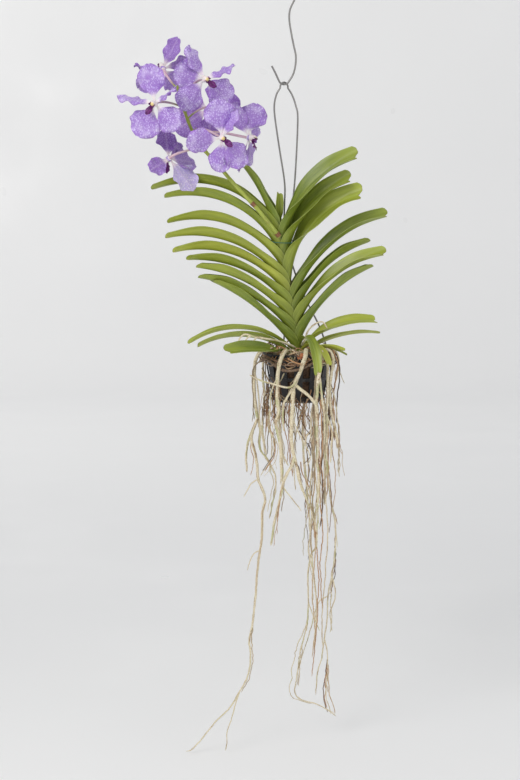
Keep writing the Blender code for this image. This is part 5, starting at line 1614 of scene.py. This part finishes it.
# %% The wires' routes
HOOK_WIRE, HANGER_WIRE, TIE_WIRE, HOOK_BEND = 2.6, 2.4, 1.0, 10
HOOK_END = ((-12, 0, -8), (-15, 0, -14))
CROOK, CROOK_RADIUS, ARCH_RADIUS, ARCH_TURN = (-20, 0, 376.5), 7.5, 8, 45
HOOK_TIP = ((-37, 0, 394), (-32, 0, 384.5))
HOOK_ROUTE = ((-7.5, 0, 383), (-4.5, 0, 395), (-4, 0, 408), (-7, 0, 422), (-10, 0, 437), (-13, 0, 456),
              (-12, 0, 470), (-6, 0, 483), (-1, 0, 495))
LEFT_LEG = ((-18, 44, 34), (-18, 33, 80), (-19, 22, 130), (-20, 17, 165), (-19, 13, 205), (-19, 9, 235),
            (-26, 1, 280), (-32, -3, 320), (-33.5, -4.5, 340), (-30.5, -5.6, 355))
RIGHT_LEG = ((-9, 6, 355), (-4, 5, 341), (-1, 4, 321), (-4, 8, 250), (-8, 13, 205), (-13, 17, 165),
             (-9, 20, 125), (10, 26, 75), (30, 31, 35))
LEG_TURNS, CLIP_HEIGHTS = (112, 40), (8, -1)
TIE_ROUTE = ((-43.5, 0, 155), (-41.8, -6.5, 155), (-38.2, -8.8, 154.6), (-30, -11.3, 153),
             (-20, -11.6, 152.5), (-10, -11.6, 152.5), (-5.6, -9.5, 153), (-3.8, -3, 153.5),
             (-4, 4, 154.5), (-5.9, 8.2, 155), (-8.2, 11, 155), (-9.3, 16, 155), (-11, 20.4, 155),
             (-16, 21.5, 155), (-21.5, 21, 155), (-24, 17.5, 155), (-30, 13, 155), (-37.4, 10.5, 155),
             (-41.8, 6.5, 155), (-43.5, 0, 155))
print("marked points on the wires:", len(HOOK_ROUTE) + len(LEFT_LEG) + len(RIGHT_LEG) + len(TIE_ROUTE))

# %% Bends, feet and wires
def arc(centre, radius, way, start, stop, steps):
    """Points of an arc in the upright plane through a direction."""
    turns = [math.radians(mix(start, stop, step / steps)) for step in range(steps + 1)]
    return [centre + radius * (way * math.cos(turn) + Vector((0, 0, math.sin(turn)))) for turn in turns]


def leg_foot(turn):
    """The foot of a hanger's leg: down beside the rim and in under it."""
    angle = math.radians(turn)
    out = Vector((math.cos(angle), math.sin(angle), 0))
    beside = RIM_RADIUS + HANGER_WIRE / 2 + 2 * CLEARANCE
    below = -RIM_THICKNESS - HANGER_WIRE / 2 - 2 * CLEARANCE
    return [*(out * beside + Vector((0, 0, height)) for height in CLIP_HEIGHTS),
            out * (beside - 0.8) + Vector((0, 0, below - 0.6)),
            out * (beside - 2.4) + Vector((0, 0, below - 1))]


def lay_wire(name, points, thickness, finish, node):
    """A wire along marked points."""
    body = Body()
    line, length = resample(through(points), 1.2)
    body.add_tube(line, [thickness / 2] * len(line), 12)
    finish_piece(name, body, finish, (node,))
    print(name, "is", round(length), "mm long")


print("an arc is drawn with", len(arc(Vector(CROOK), CROOK_RADIUS, Vector((1, 0, 0)), 0, 90, 5)), "points")

# %% Make the hook, the hanger and the tie
sideways = Vector((1, 0, 0))
bend_centre = Vector((-HANG.x, 0, -HANG.z - HOOK_BEND))
hook = [Vector(p) for p in HOOK_TIP] + arc(Vector(CROOK), CROOK_RADIUS, sideways, 205, 335, 5)
hook += [Vector(p) for p in HOOK_ROUTE] + arc(bend_centre, HOOK_BEND + HOOK_WIRE / 2, sideways, 0, 180, 7)
hook += [bend_centre + Vector(point) for point in HOOK_END]
lay_wire("hook_line", hook, HOOK_WIRE, wire_grey, "hook_wire")

rest = CROOK[2] - CROOK_RADIUS + (HOOK_WIRE + HANGER_WIRE) / 2 + CLEARANCE
arch_centre = Vector((CROOK[0], 0, rest - ARCH_RADIUS))
arch_way = Vector((math.cos(math.radians(ARCH_TURN)), math.sin(math.radians(ARCH_TURN)), 0))
hanger = list(reversed(leg_foot(LEG_TURNS[0]))) + list(LEFT_LEG)
hanger += arc(arch_centre, ARCH_RADIUS, arch_way, 180, 0, 9) + list(RIGHT_LEG) + leg_foot(LEG_TURNS[1])
lay_wire("hanger_line", hanger, HANGER_WIRE, wire_grey, "hanger_wire")
lay_wire("tie_loop", TIE_ROUTE, TIE_WIRE, tie_teal, "plant_tie")

# %% [markdown]
# ## Floor, camera and light
#
# The plant hangs over a pale floor and before a pale wall, in soft light. One sheet of paper that curves
# up behind does for both, and it stands well back so that the plant can be seen from behind too. The
# camera looks slightly down from 2.6 metres away with a long lens, which keeps the leaves' proportions.
# Two of the four lights only brighten the wall.

# %% Floor and backdrop
def paper_finish():
    """Matt, nearly white paper."""
    finish, tree, shader = new_finish("backdrop_paper")
    spot = add(tree, "TexCoord").outputs["Object"]
    tint = blend(tree, clouds(tree, spot, 1.2, 2), (0.9, 0.9, 0.905), (0.93, 0.93, 0.925))
    tree.links.new(tint, shader.inputs["Base Color"])
    tree.links.new(clouds(tree, spot, 3.0, 2), shader.inputs["Roughness"])
    return finish


FLOOR = -1.0765
BACKDROP_DEPTH, BACKDROP_CURVE, BACKDROP_HEIGHT, BACKDROP_HALF = 4.0, 0.9, 3.6, 7.0
BACKDROP_FRONT, BACKDROP_STEPS = -6.0, 16
sweep = [(BACKDROP_FRONT, 0.0), (BACKDROP_DEPTH, 0.0)]
for step in range(1, BACKDROP_STEPS + 1):
    angle = math.pi / 2 * step / BACKDROP_STEPS
    depth = BACKDROP_DEPTH + BACKDROP_CURVE * math.sin(angle)
    sweep.append((depth, BACKDROP_CURVE * (1 - math.cos(angle))))
sweep.append((BACKDROP_DEPTH + BACKDROP_CURVE, BACKDROP_HEIGHT))
ground = bpy.data.meshes.new("backdrop")
ground.from_pydata([(x, y, FLOOR + z) for y, z in sweep for x in (-BACKDROP_HALF, BACKDROP_HALF)], [],
                   [(2 * i, 2 * i + 1, 2 * i + 3, 2 * i + 2) for i in range(len(sweep) - 1)])
ground.shade_smooth()
backdrop = bpy.data.objects.new("backdrop", ground)
bpy.context.scene.collection.objects.link(backdrop)
ground.materials.append(paper_finish())
print("floor at", FLOOR, "m")

# %% Camera
PHOTO_SIZE = (520, 780)
LENS_IN_PIXELS = 1857.14
SENSOR = 24.0
CAMERA_SPOT, CAMERA_TILT = (-53.07, -2580.62, 263.4), 83
lens = bpy.data.cameras.new("camera")
lens.sensor_fit = "VERTICAL"
lens.sensor_height = SENSOR
lens.lens = LENS_IN_PIXELS / PHOTO_SIZE[1] * SENSOR
lens.clip_end = 30
camera = bpy.data.objects.new("camera", lens)
camera.location = place(CAMERA_SPOT)
camera.rotation_euler = (math.radians(CAMERA_TILT), 0, 0)
bpy.context.scene.collection.objects.link(camera)
bpy.context.scene.camera = camera
print("lens", round(lens.lens, 1), "mm")

# %% Light
LAMP_COLOUR, SKY_COLOUR, SKY_STRENGTH = (1.0, 0.98, 0.95), (0.95, 0.97, 1.0, 1), 0.5


def softbox(name, spot, aim, size, power):
    """A square area light that looks at a point."""
    lamp = bpy.data.lights.new(name, "AREA")
    lamp.size = size
    lamp.energy = power
    lamp.color = LAMP_COLOUR
    holder = bpy.data.objects.new(name, lamp)
    holder.location = spot
    holder.rotation_euler = (Vector(aim) - Vector(spot)).to_track_quat("-Z", "Y").to_euler()
    bpy.context.scene.collection.objects.link(holder)


MIDDLE = (0, 0, -0.45)
# Each lamp's name, place, aim, size and power
LAMPS = (
    ("key", (-1.6, -2.2, 1.2), MIDDLE, 1.6, 52),
    ("fill", (2.2, -1.6, 0.4), MIDDLE, 1.8, 18),
    ("wall_left", (-1.9, 2.7, 1.5), (-0.7, 4.5, -0.7), 1.8, 21),
    ("wall_right", (1.9, 2.7, 1.5), (0.7, 4.5, -0.7), 1.8, 10),
)
for lamp in LAMPS:
    softbox(*lamp)
world = bpy.data.worlds.new("studio")
world.use_nodes = True
sky = world.node_tree.nodes["Background"]
sky.inputs["Color"].default_value = SKY_COLOUR
sky.inputs["Strength"].default_value = SKY_STRENGTH
bpy.context.scene.world = world
bpy.context.scene.view_settings.view_transform = "Standard"

# %% [markdown]
# ## Pieces and faces
#
# The last line counts the pieces that were made and their faces.

# %% Pieces and faces
print("pieces:", len(pieces_made), "faces:", sum(pieces_made.values()))
